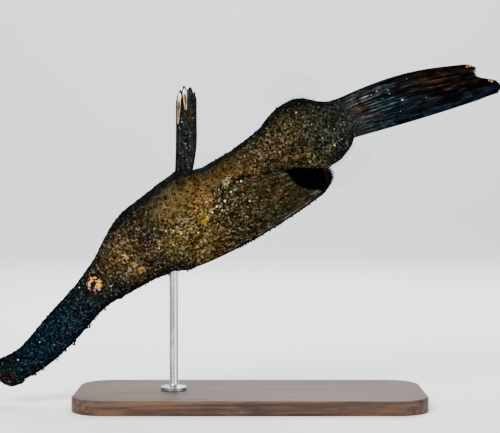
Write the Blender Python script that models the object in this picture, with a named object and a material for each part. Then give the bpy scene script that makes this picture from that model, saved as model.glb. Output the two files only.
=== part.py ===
"""Robust ghost pipefish: a female, life size, held head down over a display stand.

Her head points to -X, her left side to -Y and her back to +Z. The origin is the
middle of the underside of the stand's base. Lengths in this file are millimetres,
and they become metres only where a mesh is made.

The body is a set of cross-sections along a bent axis. Its pieces (snout, jaw, head,
trunk and tail stem) are lengths of that one shape, parted by thin cuts, and every
fin grows from it, cut back to the body's surface.
"""

import math

import bmesh
import bpy
import numpy as np
from mathutils import Matrix, Vector

MM = 0.001  # metres in a millimetre
GAP = 0.3  # clear space left between two pieces that touch
SINK = 0.9  # how deep a fin's root starts inside the body before it is cut back

# Axis of the body, from the mouth to the root of the tail fin
MOUTH_AT = (-72.0, 10.8)  # X and Z of the mouth's middle
BODY_SLOPE = 31.4  # degrees that the trunk climbs towards the tail
AXIS_SLOPES = (  # distance from the mouth, slope in degrees
    (0.0, -8.0),
    (5.0, 2.0),
    (9.0, 26.0),
    (14.0, 41.0),
    (20.0, 47.5),
    (40.0, 48.3),
    (47.0, 45.0),
    (54.0, 37.0),
    (61.0, BODY_SLOPE),
    (130.0, BODY_SLOPE),
)

# Where the body is parted, as distances from the mouth
JAW_END = 9.4
SNOUT_END = 31.0
HEAD_END = 56.0
TRUNK_END = 99.0
BODY_END = 121.4

# Distance from the mouth, height above the axis, depth below it, half width, and how
# sharp the back and belly edges are (0.5 is an ellipse, 1 a lens)
SECTIONS = (
    (0.0, 1.1, 1.3, 1.0, 0.50),
    (0.8, 1.9, 2.1, 1.7, 0.50),
    (2.2, 2.1, 3.2, 1.5, 0.50),
    (3.6, 2.6, 4.4, 1.7, 0.52),
    (6.0, 3.4, 5.6, 2.0, 0.55),
    (7.2, 3.6, 5.5, 2.1, 0.55),
    (8.8, 3.8, 4.5, 2.1, 0.55),
    (10.4, 3.9, 4.5, 2.1, 0.55),
    (16.8, 4.6, 5.0, 2.2, 0.55),
    (25.7, 4.9, 5.5, 2.4, 0.55),
    (33.4, 4.8, 5.4, 2.8, 0.55),
    (39.6, 5.2, 6.3, 3.5, 0.55),
    (44.0, 5.8, 7.5, 4.2, 0.55),
    (47.8, 7.1, 9.0, 4.8, 0.55),
    (52.0, 8.9, 9.7, 5.2, 0.56),
    (56.0, 10.3, 10.6, 5.5, 0.56),
    (60.5, 10.9, 11.6, 5.8, 0.57),
    (64.5, 11.3, 13.2, 5.9, 0.58),
    (69.5, 11.9, 12.2, 5.8, 0.60),
    (74.0, 12.0, 10.2, 5.4, 0.62),
    (76.5, 11.0, 9.0, 5.1, 0.62),
    (79.0, 9.9, 7.8, 4.8, 0.62),
    (82.0, 9.3, 6.8, 4.5, 0.62),
    (90.0, 9.2, 5.0, 3.9, 0.64),
    (96.0, 9.7, 3.8, 3.6, 0.66),
    (100.0, 10.3, 3.3, 3.5, 0.70),
    (104.0, 11.8, 4.8, 3.4, 0.80),
    (108.0, 12.6, 7.3, 3.2, 0.90),
    (111.0, 12.5, 8.8, 3.0, 0.95),
    (114.2, 11.4, 8.8, 2.6, 0.95),
    (117.2, 8.8, 8.0, 2.1, 0.85),
    (119.3, 7.2, 7.0, 1.7, 0.75),
    (121.4, 6.4, 5.4, 1.3, 0.65),
)
RING_POINTS = 28

# Head
MOUTH_LINE = (  # distance and height of the line that parts the lower jaw, from the lips
    (-3.0, -0.1),
    (2.4, -0.5),
    (JAW_END - 1.6, -3.2),
    (JAW_END, -6.8),
)
JAW_BLOCK_HALF_WIDTH = 5.0
JAW_BLOCK_FLOOR = -12.0
EYE_AT = (39.3, 1.0)  # distance from the mouth, height above the axis
EYE_SIZE = (2.4, 1.7, 2.4)  # half sizes: along, outwards, up
EYE_SUNK = 0.95  # how far its centre lies under the cheek's surface
ORBIT_RADIUS = 2.75
ORBIT_RIM = 0.42
NOSTRILS_AT = ((34.3, 2.2), (33.0, 2.5))
NOSTRIL_RADIUS = 0.42
NOSTRIL_RIM = 0.2
GILL_COVER_AT = (48.7, -1.6)
GILL_COVER_SIZE = (6.1, 1.5, 5.2)
GILL_COVER_SUNK = 0.85
GILL_COVER_TURN = -8.0  # degrees, nose down against the axis
EYE_FACETS = (20, 10)  # around and along
GILL_COVER_FACETS = (24, 8)

# Fins. Thickness is half of the fin's, at the membrane and on a ray.
MEMBRANE = 0.25
RAY = 0.45
TIP = 0.17

FIRST_DORSAL_BASE = (73.9, 77.8)
FIRST_DORSAL_SPINES = (  # each spine's height over the back and the X of its tip
    (21.4, -20.1),
    (22.2, -19.2),
    (23.3, -18.1),
    (22.8, -16.3),
    (21.6, -14.8),
)
FIRST_DORSAL_NOTCH = 2.4  # how far the web is cut back between two tips
FIRST_DORSAL_FOLD = 0.3
FIRST_DORSAL_SPREAD = 2.2  # a spine leans out until 1 / 2.2 of its height, then stands upright

SOFT_RAYS = 18  # second dorsal fin and anal fin, each
SECOND_DORSAL_BASE = (107.8, 116.8)
SECOND_DORSAL_LEAN = (28.0, -46.0)  # degrees forward of upright, first and last ray
ANAL_BASE = (109.6, 119.4)
ANAL_LEAN = (12.0, -46.0)
SOFT_FIN_HEIGHT = 7.2
SOFT_FIN_NOTCH = 0.6

PECTORAL_BASE = (61.2, 60.0)  # distance of its upper and lower ends
PECTORAL_SPAN = (2.4, -4.0)  # heights of those ends
PECTORAL_RAYS = 13
PECTORAL_LENGTH = 8.4
PECTORAL_FAN = (34.0, -34.0)  # degrees above the axis, first and last ray
PECTORAL_FLARE = (36.0, 26.0)  # degrees outwards, at the root and at the edge
PECTORAL_NOTCH = 0.5

PELVIC_RAYS = 7
PELVIC_BASE = ((73.5, 0.2), (65.0, -13.0))  # upper and lower end of the root
PELVIC_TIPS = {  # left and right: each ray's distance, height and how far it stands out
    -1: (
        (99.3, -2.4, 6.9),
        (100.6, -4.7, 8.2),
        (100.7, -6.8, 8.7),
        (101.1, -9.0, 8.2),
        (102.2, -10.9, 6.7),
        (104.4, -12.6, 4.4),
        (107.0, -14.1, 1.9),
    ),
    1: (
        (110.2, -4.2, 3.4),
        (111.2, -6.6, 4.3),
        (111.9, -8.8, 5.0),
        (112.0, -10.7, 5.1),
        (111.0, -12.3, 4.5),
        (108.6, -13.6, 3.1),
        (105.6, -14.5, 1.4),
    ),
}
PELVIC_CUP = 2.8  # how far the pouch bulges between root and tips
PELVIC_CLEAR = 0.9  # from the body's side to the upper margin that lies along it
PELVIC_ARCH = {-1: 3.3, 1: 1.0}  # how far the upper margin bows up
PELVIC_SAG = 0.9  # how far the lower margin hangs below a straight line
PELVIC_NOTCH = 0.9

TAIL_RAYS = 16
TAIL_TIPS = (  # X and Z of the rays' ends, down the hind edge
    (60.5, 93.7),
    (62.2, 92.8),
    (62.4, 90.8),
    (65.2, 89.8),
    (67.9, 89.3),
    (69.3, 87.8),
    (68.5, 85.9),
)
TAIL_ARCH = (2.3, -0.4)  # how far the upper and lower edge bow upwards
TAIL_PLEAT = 0.25
TAIL_FOLD = 0.6  # how deep the broad folds of the half shut fan are
TAIL_FOLDS = 3.2
TAIL_SWAY = 1.6  # how far the tip swings to the right side
TAIL_NOTCH = 1.0
TAIL_ROOT = (0.96, 0.95)  # share of the body's height and width that the root takes
TAIL_OPENING = 2.5  # the fan is fully open from 1 / 2.5 of its length
TAIL_FLESH_ENDS = 0.2  # share of the length that is fleshy

# Display stand
BASE_LENGTH = 96.0
BASE_WIDTH = 38.0
BASE_HEIGHT = 4.0
BASE_CORNER = 9.0
BASE_EDGE = 0.6
BASE_CENTRE_X = 0.0
ROD_AT_X = -21.0
ROD_RADIUS = 1.2
ROD_FOOT_RADIUS = 3.6
ROD_FOOT_HEIGHT = 1.0
ROD_TOP = 38.0  # inside the breast, before the rod is cut back to the skin
ROD_SIDES = 20


# Curves through named values


def smooth(at, knots):
    """Values at a distance, on a curve through the knots that never overshoots them."""
    rows = np.array(knots, float)
    x, y = rows[:, 0], rows[:, 1:]
    step = np.diff(x)[:, None]
    rise = np.diff(y, axis=0) / step
    before, after = rise[:-1], rise[1:]
    same = before * after > 0
    total = np.where(same, before + after, 1.0)
    middle = np.where(same, 2 * before * after / total, 0.0)
    slope = np.vstack([rise[:1], middle, rise[-1:]])
    i = int(np.clip(np.searchsorted(x, at) - 1, 0, len(x) - 2))
    t = float(np.clip((at - x[i]) / step[i, 0], 0.0, 1.0))
    h = step[i, 0]
    return (
        y[i] * (2 * t**3 - 3 * t**2 + 1)
        + slope[i] * h * (t**3 - 2 * t**2 + t)
        + y[i + 1] * (3 * t**2 - 2 * t**3)
        + slope[i + 1] * h * (t**3 - t**2)
    )


def axis_table(step=0.1):
    """Rows of distance, X, Z and slope in radians, walked along the axis."""
    x, z = MOUTH_AT
    rows = []
    for i in range(int(AXIS_SLOPES[-1][0] / step) + 1):
        slope = math.radians(smooth(i * step, AXIS_SLOPES)[0])
        rows.append((i * step, x, z, slope))
        x += step * math.cos(slope)
        z += step * math.sin(slope)
    return np.array(rows)


AXIS = axis_table()


def place(distance, height, side=0.0):
    """The point at a distance along the axis, a height above it and a side offset."""
    x, z, slope = (np.interp(distance, AXIS[:, 0], AXIS[:, k]) for k in (1, 2, 3))
    return Vector((x - height * math.sin(slope), side, z + height * math.cos(slope)))


def upright(distance, lean=0.0):
    """The direction away from the axis on the back's side, leaning to the head."""
    slope = np.interp(distance, AXIS[:, 0], AXIS[:, 3]) + math.radians(lean)
    return Vector((-math.sin(slope), 0.0, math.cos(slope)))


def half_width_at(distance, height):
    """How far the body's side stands from the middle at that height."""
    up, down, width, edge = smooth(distance, SECTIONS)
    middle, half = (up - down) / 2, (up + down) / 2
    share = min(1.0, abs(height - middle) / half)
    return width * (1 - share**2) ** edge


def side_frame(distance, height, side):
    """Where the body's side is, as a matrix: X runs along it, Y outwards, Z up."""
    nudge = 0.4

    def surface(d, h):
        return place(d, h, side * half_width_at(d, h))

    along = surface(distance + nudge, height) - surface(distance - nudge, height)
    up = surface(distance, height + nudge) - surface(distance, height - nudge)
    outward = up.cross(along).normalized()
    if outward.y * side < 0:
        outward.negate()
    along.normalize()
    up = along.cross(outward).normalized() * side
    frame = Matrix((along, outward, up)).transposed().to_4x4()
    frame.translation = surface(distance, height)
    return frame


# Meshes


def material(name, colour, roughness, metallic=0.0):
    made = bpy.data.materials.new(name)
    made.use_nodes = True
    shader = made.node_tree.nodes["Principled BSDF"]
    shader.inputs["Base Color"].default_value = (*colour, 1.0)
    shader.inputs["Roughness"].default_value = roughness
    shader.inputs["Metallic"].default_value = metallic
    return made


def new_object(name, points, faces, finish=None):
    """An object from points in millimetres, its faces as triangles that point out."""
    mesh = bpy.data.meshes.new(name)
    mesh.from_pydata([Vector(p) * MM for p in points], [], faces)
    shape = bmesh.new()
    shape.from_mesh(mesh)
    bmesh.ops.triangulate(shape, faces=shape.faces)
    bmesh.ops.recalc_face_normals(shape, faces=shape.faces)
    shape.to_mesh(mesh)
    shape.free()
    mesh.shade_smooth()
    mesh.set_sharp_from_angle(angle=math.radians(40))
    if finish:
        mesh.materials.append(finish)
    made = bpy.data.objects.new(name, mesh)
    bpy.context.scene.collection.objects.link(made)
    return made


def boolean(piece, others, operation):
    """Applies one exact Boolean with a collection of others, which are then removed."""
    group = bpy.data.collections.new("tools")
    bpy.context.scene.collection.children.link(group)
    for other in others:
        bpy.context.scene.collection.objects.unlink(other)
        group.objects.link(other)
    step = piece.modifiers.new(operation, "BOOLEAN")
    step.operation = operation
    step.operand_type = "COLLECTION"
    step.collection = group
    bpy.context.view_layer.update()
    graph = bpy.context.evaluated_depsgraph_get()
    result = bpy.data.meshes.new_from_object(piece.evaluated_get(graph))
    piece.modifiers.remove(step)
    piece.data = result
    for other in others:
        bpy.data.objects.remove(other)
    bpy.data.collections.remove(group)
    return piece


def keep_largest(piece):
    """Drops every loose scrap that a cut left, keeping the largest closed surface."""
    shape = bmesh.new()
    shape.from_mesh(piece.data)
    left = set(shape.verts)
    islands = []
    while left:
        island, edge = set(), [left.pop()]
        while edge:
            vert = edge.pop()
            island.add(vert)
            for link in vert.link_edges:
                other = link.other_vert(vert)
                if other in left:
                    left.discard(other)
                    edge.append(other)
        islands.append(island)
    islands.sort(key=len)
    for island in islands[:-1]:
        bmesh.ops.delete(shape, geom=list(island), context="VERTS")
    shape.to_mesh(piece.data)
    shape.free()
    return piece


# The body


def ring(distance, grow=0.0):
    """One cross-section of the body, as points from the back down the right side."""
    up, down, width, edge = smooth(distance, SECTIONS)
    up, down, width = up + grow, down + grow, width + grow
    middle, half = (up - down) / 2, (up + down) / 2
    points = []
    for i in range(RING_POINTS):
        turn = 2 * math.pi * i / RING_POINTS
        side = math.copysign(abs(math.sin(turn)) ** (2 * edge), math.sin(turn))
        points.append(place(distance, middle + half * math.cos(turn), width * side))
    return points


def stations(start, end):
    """Distances of the sections between start and end, and halfway between those."""
    known = [row[0] for row in SECTIONS]
    between = [(a + b) / 2 for a, b in zip(known, known[1:]) if b - a > 5.0]
    inner = [s for s in sorted(known + between) if start + 0.6 < s < end - 0.6]
    return [start, *inner, end]


def body_length(name, start, end, finish=None, grow=0.0):
    """A closed length of the body between two distances from the mouth."""
    rings = [ring(s, grow) for s in stations(start, end)]
    count = RING_POINTS
    points = [p for r in rings for p in r]
    faces = []
    for j in range(len(rings) - 1):
        for i in range(count):
            k = (i + 1) % count
            faces.append((j * count + i, j * count + k, (j + 1) * count + k, (j + 1) * count + i))
    faces.append(tuple(range(count)))
    faces.append(tuple(range((len(rings) - 1) * count, len(rings) * count)))
    return new_object(name, points, faces, finish)


def grown_body():
    """The whole body, larger by the gap, which cuts back what grows from it."""
    return body_length("grown_body", 0.0, BODY_END + GAP, grow=GAP)


def jaw_wedge(name, grow=0.0):
    """The block below the line of the mouth, back to the hinge of the lower jaw."""
    outline = [(d, h + grow) for d, h in MOUTH_LINE]
    outline[-1] = (JAW_END + grow, outline[-1][1])
    outline += [(JAW_END + grow, JAW_BLOCK_FLOOR), (MOUTH_LINE[0][0], JAW_BLOCK_FLOOR)]
    start = place(0.0, 0.0)
    back = Vector((math.cos(AXIS[0, 3]), 0.0, math.sin(AXIS[0, 3])))
    flat = [place(d, h) if d >= 0 else start + back * d + upright(0.0) * h for d, h in outline]
    points = [p + Vector((0, side * JAW_BLOCK_HALF_WIDTH, 0)) for side in (-1, 1) for p in flat]
    n = len(flat)
    faces = [tuple(range(n)), tuple(range(n, 2 * n))]
    faces += [(i, (i + 1) % n, n + (i + 1) % n, n + i) for i in range(n)]
    return new_object(name, points, faces)


def ellipsoid(name, frame, sizes, facets, finish=None, grow=0.0):
    """A closed ball with three half sizes, its poles pointing outwards."""
    around, along = facets
    points = []
    faces = []
    a, b, c = (size + grow for size in sizes)
    for j in range(1, along):
        tilt = math.pi * j / along
        for i in range(around):
            turn = 2 * math.pi * i / around
            x, z = math.sin(tilt) * math.cos(turn), math.sin(tilt) * math.sin(turn)
            points.append(frame @ Vector((a * x, b * math.cos(tilt), c * z)))
    for j in range(along - 2):
        for i in range(around):
            k = (i + 1) % around
            faces.append((j * around + i, j * around + k, (j + 1) * around + k, (j + 1) * around + i))
    outer, inner = len(points), len(points) + 1
    points += [frame @ Vector((0, b, 0)), frame @ Vector((0, -b, 0))]
    last = (along - 2) * around
    for i in range(around):
        k = (i + 1) % around
        faces.append((outer, i, k))
        faces.append((inner, last + i, last + k))
    return new_object(name, points, faces, finish)


def rim(name, frame, radius, thick, around=16, sides=6):
    """A ring of round section lying on the surface that the frame stands on."""
    points = []
    for i in range(around):
        turn = 2 * math.pi * i / around
        for j in range(sides):
            tilt = 2 * math.pi * j / sides
            r = radius + thick * math.cos(tilt)
            spot = Vector((r * math.cos(turn), thick * math.sin(tilt), r * math.sin(turn)))
            points.append(frame @ spot)
    faces = []
    for i in range(around):
        k = (i + 1) % around
        for j in range(sides):
            m = (j + 1) % sides
            faces.append((i * sides + j, i * sides + m, k * sides + m, k * sides + j))
    return new_object(name, points, faces)


def sunk(frame, depth, turn=0.0):
    """The frame moved inwards by a depth, and turned about its outward direction."""
    moved = frame @ Matrix.Rotation(math.radians(turn), 4, "Y")
    moved.translation = frame @ Vector((0, -depth, 0))
    return moved


def make_head(skin, eye_finish):
    """Head with orbits and nostrils, the eyes in their sockets and the gill covers."""
    head = body_length("head", SNOUT_END + GAP, HEAD_END, skin)
    raised, sockets = [], []
    for side, word in ((-1, "left"), (1, "right")):
        eye = side_frame(*EYE_AT, side)
        seat = sunk(eye, EYE_SUNK)
        raised.append(rim("orbit", eye, ORBIT_RADIUS, ORBIT_RIM))
        sockets.append(ellipsoid("socket", seat, EYE_SIZE, EYE_FACETS, grow=GAP))
        ellipsoid("eye_" + word, seat, EYE_SIZE, EYE_FACETS, eye_finish)
        cover = sunk(side_frame(*GILL_COVER_AT, side), GILL_COVER_SUNK, side * GILL_COVER_TURN)
        sockets.append(ellipsoid("pocket", cover, GILL_COVER_SIZE, GILL_COVER_FACETS, grow=GAP))
        ellipsoid("gill_cover_" + word, cover, GILL_COVER_SIZE, GILL_COVER_FACETS, skin)
        for spot in NOSTRILS_AT:
            raised.append(rim("nostril", side_frame(*spot, side), NOSTRIL_RADIUS, NOSTRIL_RIM, 10, 5))
    boolean(head, raised, "UNION")
    keep_largest(boolean(head, sockets, "DIFFERENCE"))


def make_body(skin, eye_finish):
    """The lengths of the body, with the lower jaw cut from the end of the snout."""
    snout = body_length("snout", 0.0, SNOUT_END, skin)
    jaw = body_length("lower_jaw", 0.0, SNOUT_END, skin)
    keep_largest(boolean(snout, [jaw_wedge("mouth_line", GAP)], "DIFFERENCE"))
    keep_largest(boolean(jaw, [jaw_wedge("jaw_block")], "INTERSECT"))
    make_head(skin, eye_finish)
    body_length("trunk", HEAD_END + GAP, TRUNK_END, skin)
    body_length("tail_stem", TRUNK_END + GAP, BODY_END, skin)


# Fins


def fin(name, spot, half_thickness, rows, columns, finish):
    """A closed fin. spot(u, v) is its middle surface, u along a ray and v across."""
    us, vs = np.linspace(0, 1, rows), np.linspace(0, 1, columns)
    middle = np.array([[spot(u, v) for v in vs] for u in us])
    along = np.gradient(middle, axis=0)
    across = np.gradient(middle, axis=1)
    outward = np.cross(along, across)
    outward /= np.linalg.norm(outward, axis=2, keepdims=True)
    half = np.array([[half_thickness(u, v) for v in vs] for u in us])[..., None]
    points = np.concatenate([middle + outward * half, middle - outward * half])
    total = rows * columns
    faces = []
    for side in (0, total):
        for r in range(rows - 1):
            for c in range(columns - 1):
                a = side + r * columns + c
                b, d, e = a + 1, a + columns + 1, a + columns
                faces += [(a, b, d), (a, d, e)]
    loop = [c for c in range(columns)]
    loop += [r * columns + columns - 1 for r in range(1, rows)]
    loop += [(rows - 1) * columns + c for c in range(columns - 2, -1, -1)]
    loop += [r * columns for r in range(rows - 2, 0, -1)]
    for a, b in zip(loop, loop[1:] + loop[:1]):
        faces += [(a, b, b + total), (a, b + total, a + total)]
    return new_object(name, points.reshape(-1, 3), faces, finish)


def ridge(v, rays):
    """How close v is to a ray: 1 on it, 0 half way to the next."""
    phase = v * (rays - 1)
    return max(0.0, 1 - 2 * abs(phase - round(phase)))


def ray_thickness(rays, root=1.0):
    """Half thickness of a fin with ridged rays that taper to the edge."""

    def half(u, v):
        full = MEMBRANE + (RAY - MEMBRANE) * ridge(v, rays) * (1 - 0.4 * u)
        full += (root - 1.0) * RAY * max(0.0, 1 - 4 * u)
        return full + (TIP - full) * max(0.0, (u - 0.8) / 0.2)

    return half


def make_first_dorsal(finish):
    """The tall fin behind the head: five spines held close, their tips free."""
    spines = len(FIRST_DORSAL_SPINES)
    tips = [(i / (spines - 1), *tip) for i, tip in enumerate(FIRST_DORSAL_SPINES)]

    def spot(u, v):
        distance = FIRST_DORSAL_BASE[0] + v * (FIRST_DORSAL_BASE[1] - FIRST_DORSAL_BASE[0])
        root = place(distance, smooth(distance, SECTIONS)[0] - SINK)
        height, tip_x = smooth(v, tips)
        notch = FIRST_DORSAL_NOTCH * (1 - ridge(v, spines)) * u**6
        x = root.x + (tip_x - root.x) * min(1.0, FIRST_DORSAL_SPREAD * u)
        fold = FIRST_DORSAL_FOLD * (1 - 2 * ridge(v, spines)) * min(1.0, 3 * u)
        return x, fold, root.z + (height + SINK) * u - notch

    made = fin("first_dorsal_fin", spot, ray_thickness(spines), 11, 4 * spines - 3, finish)
    keep_largest(boolean(made, [grown_body()], "DIFFERENCE"))


def soft_fin(name, base, lean, below, finish):
    """A low fan of soft rays on the crest of the back, or below on the belly side."""
    sign = -1.0 if below else 1.0

    def spot(u, v):
        distance = base[0] + v * (base[1] - base[0])
        up, down = smooth(distance, SECTIONS)[:2]
        root = place(distance, sign * ((down if below else up) - SINK))
        tilt = lean[0] + v * (lean[1] - lean[0])
        way = upright(distance, sign * tilt) * sign
        length = SOFT_FIN_HEIGHT * (0.68 + 0.32 * math.sin(math.pi * (0.15 + 0.75 * v)))
        length -= SOFT_FIN_NOTCH * (1 - ridge(v, SOFT_RAYS)) * u**4
        return tuple(root + way * (length + SINK) * u)

    half = ray_thickness(SOFT_RAYS)
    made = fin(name, spot, half, 5, 2 * SOFT_RAYS - 1, finish)
    keep_largest(boolean(made, [grown_body()], "DIFFERENCE"))


def make_pectoral(side, finish):
    """A small rounded fan behind the gill cover, swept back and a little outwards."""

    def spot(u, v):
        distance = PECTORAL_BASE[0] + v * (PECTORAL_BASE[1] - PECTORAL_BASE[0])
        height = PECTORAL_SPAN[0] + v * (PECTORAL_SPAN[1] - PECTORAL_SPAN[0])
        root = place(distance, height, side * (half_width_at(distance, height) - SINK))
        fan = math.radians(PECTORAL_FAN[0] + v * (PECTORAL_FAN[1] - PECTORAL_FAN[0]))
        flare = math.radians(PECTORAL_FLARE[0] + u * (PECTORAL_FLARE[1] - PECTORAL_FLARE[0]))
        length = PECTORAL_LENGTH * (0.78 + 0.22 * math.sin(math.pi * v))
        length -= PECTORAL_NOTCH * (1 - ridge(v, PECTORAL_RAYS)) * u**4
        reach = (length + SINK) * u
        back = upright(distance, -90.0)
        way = back * math.cos(fan) * math.cos(flare) + upright(distance) * math.sin(fan)
        return tuple(root + way * reach + Vector((0, side * math.sin(flare) * reach, 0)))

    name = "pectoral_fin_left" if side < 0 else "pectoral_fin_right"
    made = fin(name, spot, ray_thickness(PECTORAL_RAYS), 6, 2 * PECTORAL_RAYS - 1, finish)
    keep_largest(boolean(made, [grown_body()], "DIFFERENCE"))


def make_pelvic(side, finish):
    """One of the two large fins that cup into the brood pouch."""
    (top_root, top_height), (low_root, low_height) = PELVIC_BASE
    tips = [(i / (PELVIC_RAYS - 1), *tip) for i, tip in enumerate(PELVIC_TIPS[side])]

    def spot(u, v):
        root_at = top_root + v * (low_root - top_root)
        root_height = top_height + v * (low_height - top_height)
        root_side = max(0.7, half_width_at(root_at, root_height) - SINK)
        tip_at, tip_height, tip_side = smooth(v, tips)
        tip_at -= PELVIC_NOTCH * (1 - ridge(v, PELVIC_RAYS))
        arch = PELVIC_ARCH[side] * math.sin(math.pi * u**1.2) * (1 - v) ** 2
        sag = PELVIC_SAG * math.sin(math.pi * u) * v
        bulge = PELVIC_CUP * math.sin(math.pi * u) * math.sin(math.pi * (0.08 + 0.86 * v))
        distance = root_at + (tip_at - root_at) * u
        height = root_height + (tip_height - root_height) * u + arch - sag
        cupped = root_side + (tip_side - root_side) * u**1.3 + bulge
        hugging = half_width_at(distance, height) + PELVIC_CLEAR
        share = (1 - v) ** 2 * (1 - u**4) * min(1.0, 12 * u)
        return tuple(place(distance, height, side * (cupped + (hugging - cupped) * share)))

    name = "pelvic_fin_left" if side < 0 else "pelvic_fin_right"
    half = ray_thickness(PELVIC_RAYS, 1.4)
    made = fin(name, spot, half, 13, 4 * (PELVIC_RAYS - 1) + 1, finish)
    keep_largest(boolean(made, [grown_body()], "DIFFERENCE"))


def make_tail(finish):
    """The long tail fin, half shut, in broad folds with a ridge along every ray."""
    up, down = smooth(BODY_END, SECTIONS)[:2]
    tips = [(i / (len(TAIL_TIPS) - 1), *tip) for i, tip in enumerate(TAIL_TIPS)]

    def root_height(v):
        return TAIL_ROOT[0] * (up - v * (up + down))

    def spot(u, v):
        root = place(BODY_END - SINK, root_height(v))
        x, z = smooth(v, tips)
        tip = Vector((x - TAIL_NOTCH * (1 - ridge(v, TAIL_RAYS)), 0, z))
        arch = (TAIL_ARCH[0] + v * (TAIL_ARCH[1] - TAIL_ARCH[0])) * math.sin(math.pi * u)
        open_share = min(1.0, TAIL_OPENING * u)
        pleat = TAIL_PLEAT * (2 * ridge(v, TAIL_RAYS) - 1) * open_share
        fold = TAIL_FOLD * math.sin(2 * math.pi * TAIL_FOLDS * v) * open_share
        point = root.lerp(tip, u)
        return point.x, TAIL_SWAY * u**2 + pleat + fold, point.z + arch

    def half(u, v):
        fleshy = max(0.0, 1 - u / TAIL_FLESH_ENDS) ** 2
        flesh = TAIL_ROOT[1] * half_width_at(BODY_END, root_height(v))
        plain = ray_thickness(TAIL_RAYS)(u, v)
        return plain + max(0.0, flesh - plain) * fleshy

    made = fin("tail_fin", spot, half, 14, 2 * TAIL_RAYS - 1, finish)
    keep_largest(boolean(made, [grown_body()], "DIFFERENCE"))


# The stand


def rounded_outline(length, width, corner, inset, height):
    """Points of a rectangle with round corners, pulled in by an inset."""
    points = []
    for quarter, (sx, sy) in enumerate(((1, 1), (-1, 1), (-1, -1), (1, -1))):
        centre_x = BASE_CENTRE_X + sx * (length / 2 - corner)
        centre_y = sy * (width / 2 - corner)
        for i in range(7):
            turn = math.pi / 2 * (quarter + i / 6)
            reach = corner - inset
            points.append((centre_x + reach * math.cos(turn), centre_y + reach * math.sin(turn), height))
    return points


def stacked(name, rings, finish):
    """A closed solid through rings that lie one over the other."""
    count = len(rings[0])
    points = [p for r in rings for p in r]
    faces = [tuple(range(count)), tuple(range(len(points) - count, len(points)))]
    for j in range(len(rings) - 1):
        for i in range(count):
            k = (i + 1) % count
            faces.append((j * count + i, j * count + k, (j + 1) * count + k, (j + 1) * count + i))
    return new_object(name, points, faces, finish)


def make_stand(wood, steel):
    """A flat base with softened edges, and one rod with a round foot."""
    steps = (
        (BASE_EDGE / 2, 0.0),
        (0.0, BASE_EDGE / 2),
        (0.0, BASE_HEIGHT - BASE_EDGE),
        (BASE_EDGE, BASE_HEIGHT),
    )
    sizes = (BASE_LENGTH, BASE_WIDTH, BASE_CORNER)
    stacked("stand_base", [rounded_outline(*sizes, inset, z) for inset, z in steps], wood)
    foot = BASE_HEIGHT + GAP
    profile = (
        (ROD_FOOT_RADIUS, foot),
        (ROD_FOOT_RADIUS, foot + 0.7 * ROD_FOOT_HEIGHT),
        (ROD_FOOT_RADIUS - 0.3, foot + ROD_FOOT_HEIGHT),
        (ROD_RADIUS, foot + ROD_FOOT_HEIGHT),
        (ROD_RADIUS, ROD_TOP),
    )
    turns = [2 * math.pi * i / ROD_SIDES for i in range(ROD_SIDES)]
    rings = [[(ROD_AT_X + r * math.cos(t), r * math.sin(t), z) for t in turns] for r, z in profile]
    rod = stacked("stand_rod", rings, steel)
    keep_largest(boolean(rod, [grown_body()], "DIFFERENCE"))


def main():
    for old in list(bpy.data.objects):
        bpy.data.objects.remove(old)
    skin = material("skin", (0.16, 0.11, 0.06), 0.55)
    eye = material("eye", (0.62, 0.38, 0.22), 0.15)
    fin_skin = material("fin", (0.12, 0.09, 0.06), 0.5)
    clear_fin = material("clear_fin", (0.45, 0.42, 0.36), 0.35)
    wood = material("base", (0.035, 0.03, 0.027), 0.4)
    steel = material("rod", (0.6, 0.6, 0.6), 0.3, 1.0)
    make_body(skin, eye)
    make_first_dorsal(fin_skin)
    soft_fin("second_dorsal_fin", SECOND_DORSAL_BASE, SECOND_DORSAL_LEAN, False, clear_fin)
    soft_fin("anal_fin", ANAL_BASE, ANAL_LEAN, True, clear_fin)
    for side in (-1, 1):
        make_pectoral(side, clear_fin)
        make_pelvic(side, fin_skin)
    make_tail(fin_skin)
    make_stand(wood, steel)


main()
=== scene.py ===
# %% [markdown]
# # A ghost pipefish on a display stand
#
# The real thing is a fish about as long as a hand: a tube of a snout, a deep flat-sided
# trunk, two large pelvic fins that cup into a pouch, and a long tail fin.
# It could be carved by hand, but a fish like this is really a set of cross-sections along
# a bent line, so one formula can make the body, and every fin can start from it. All the
# making is done in millimetres, and a length becomes metres only where a mesh is made.

# %% Load the frame
import math
from types import SimpleNamespace

import bmesh
import bpy
import numpy as np
from mathutils import Matrix, Vector, noise


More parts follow.
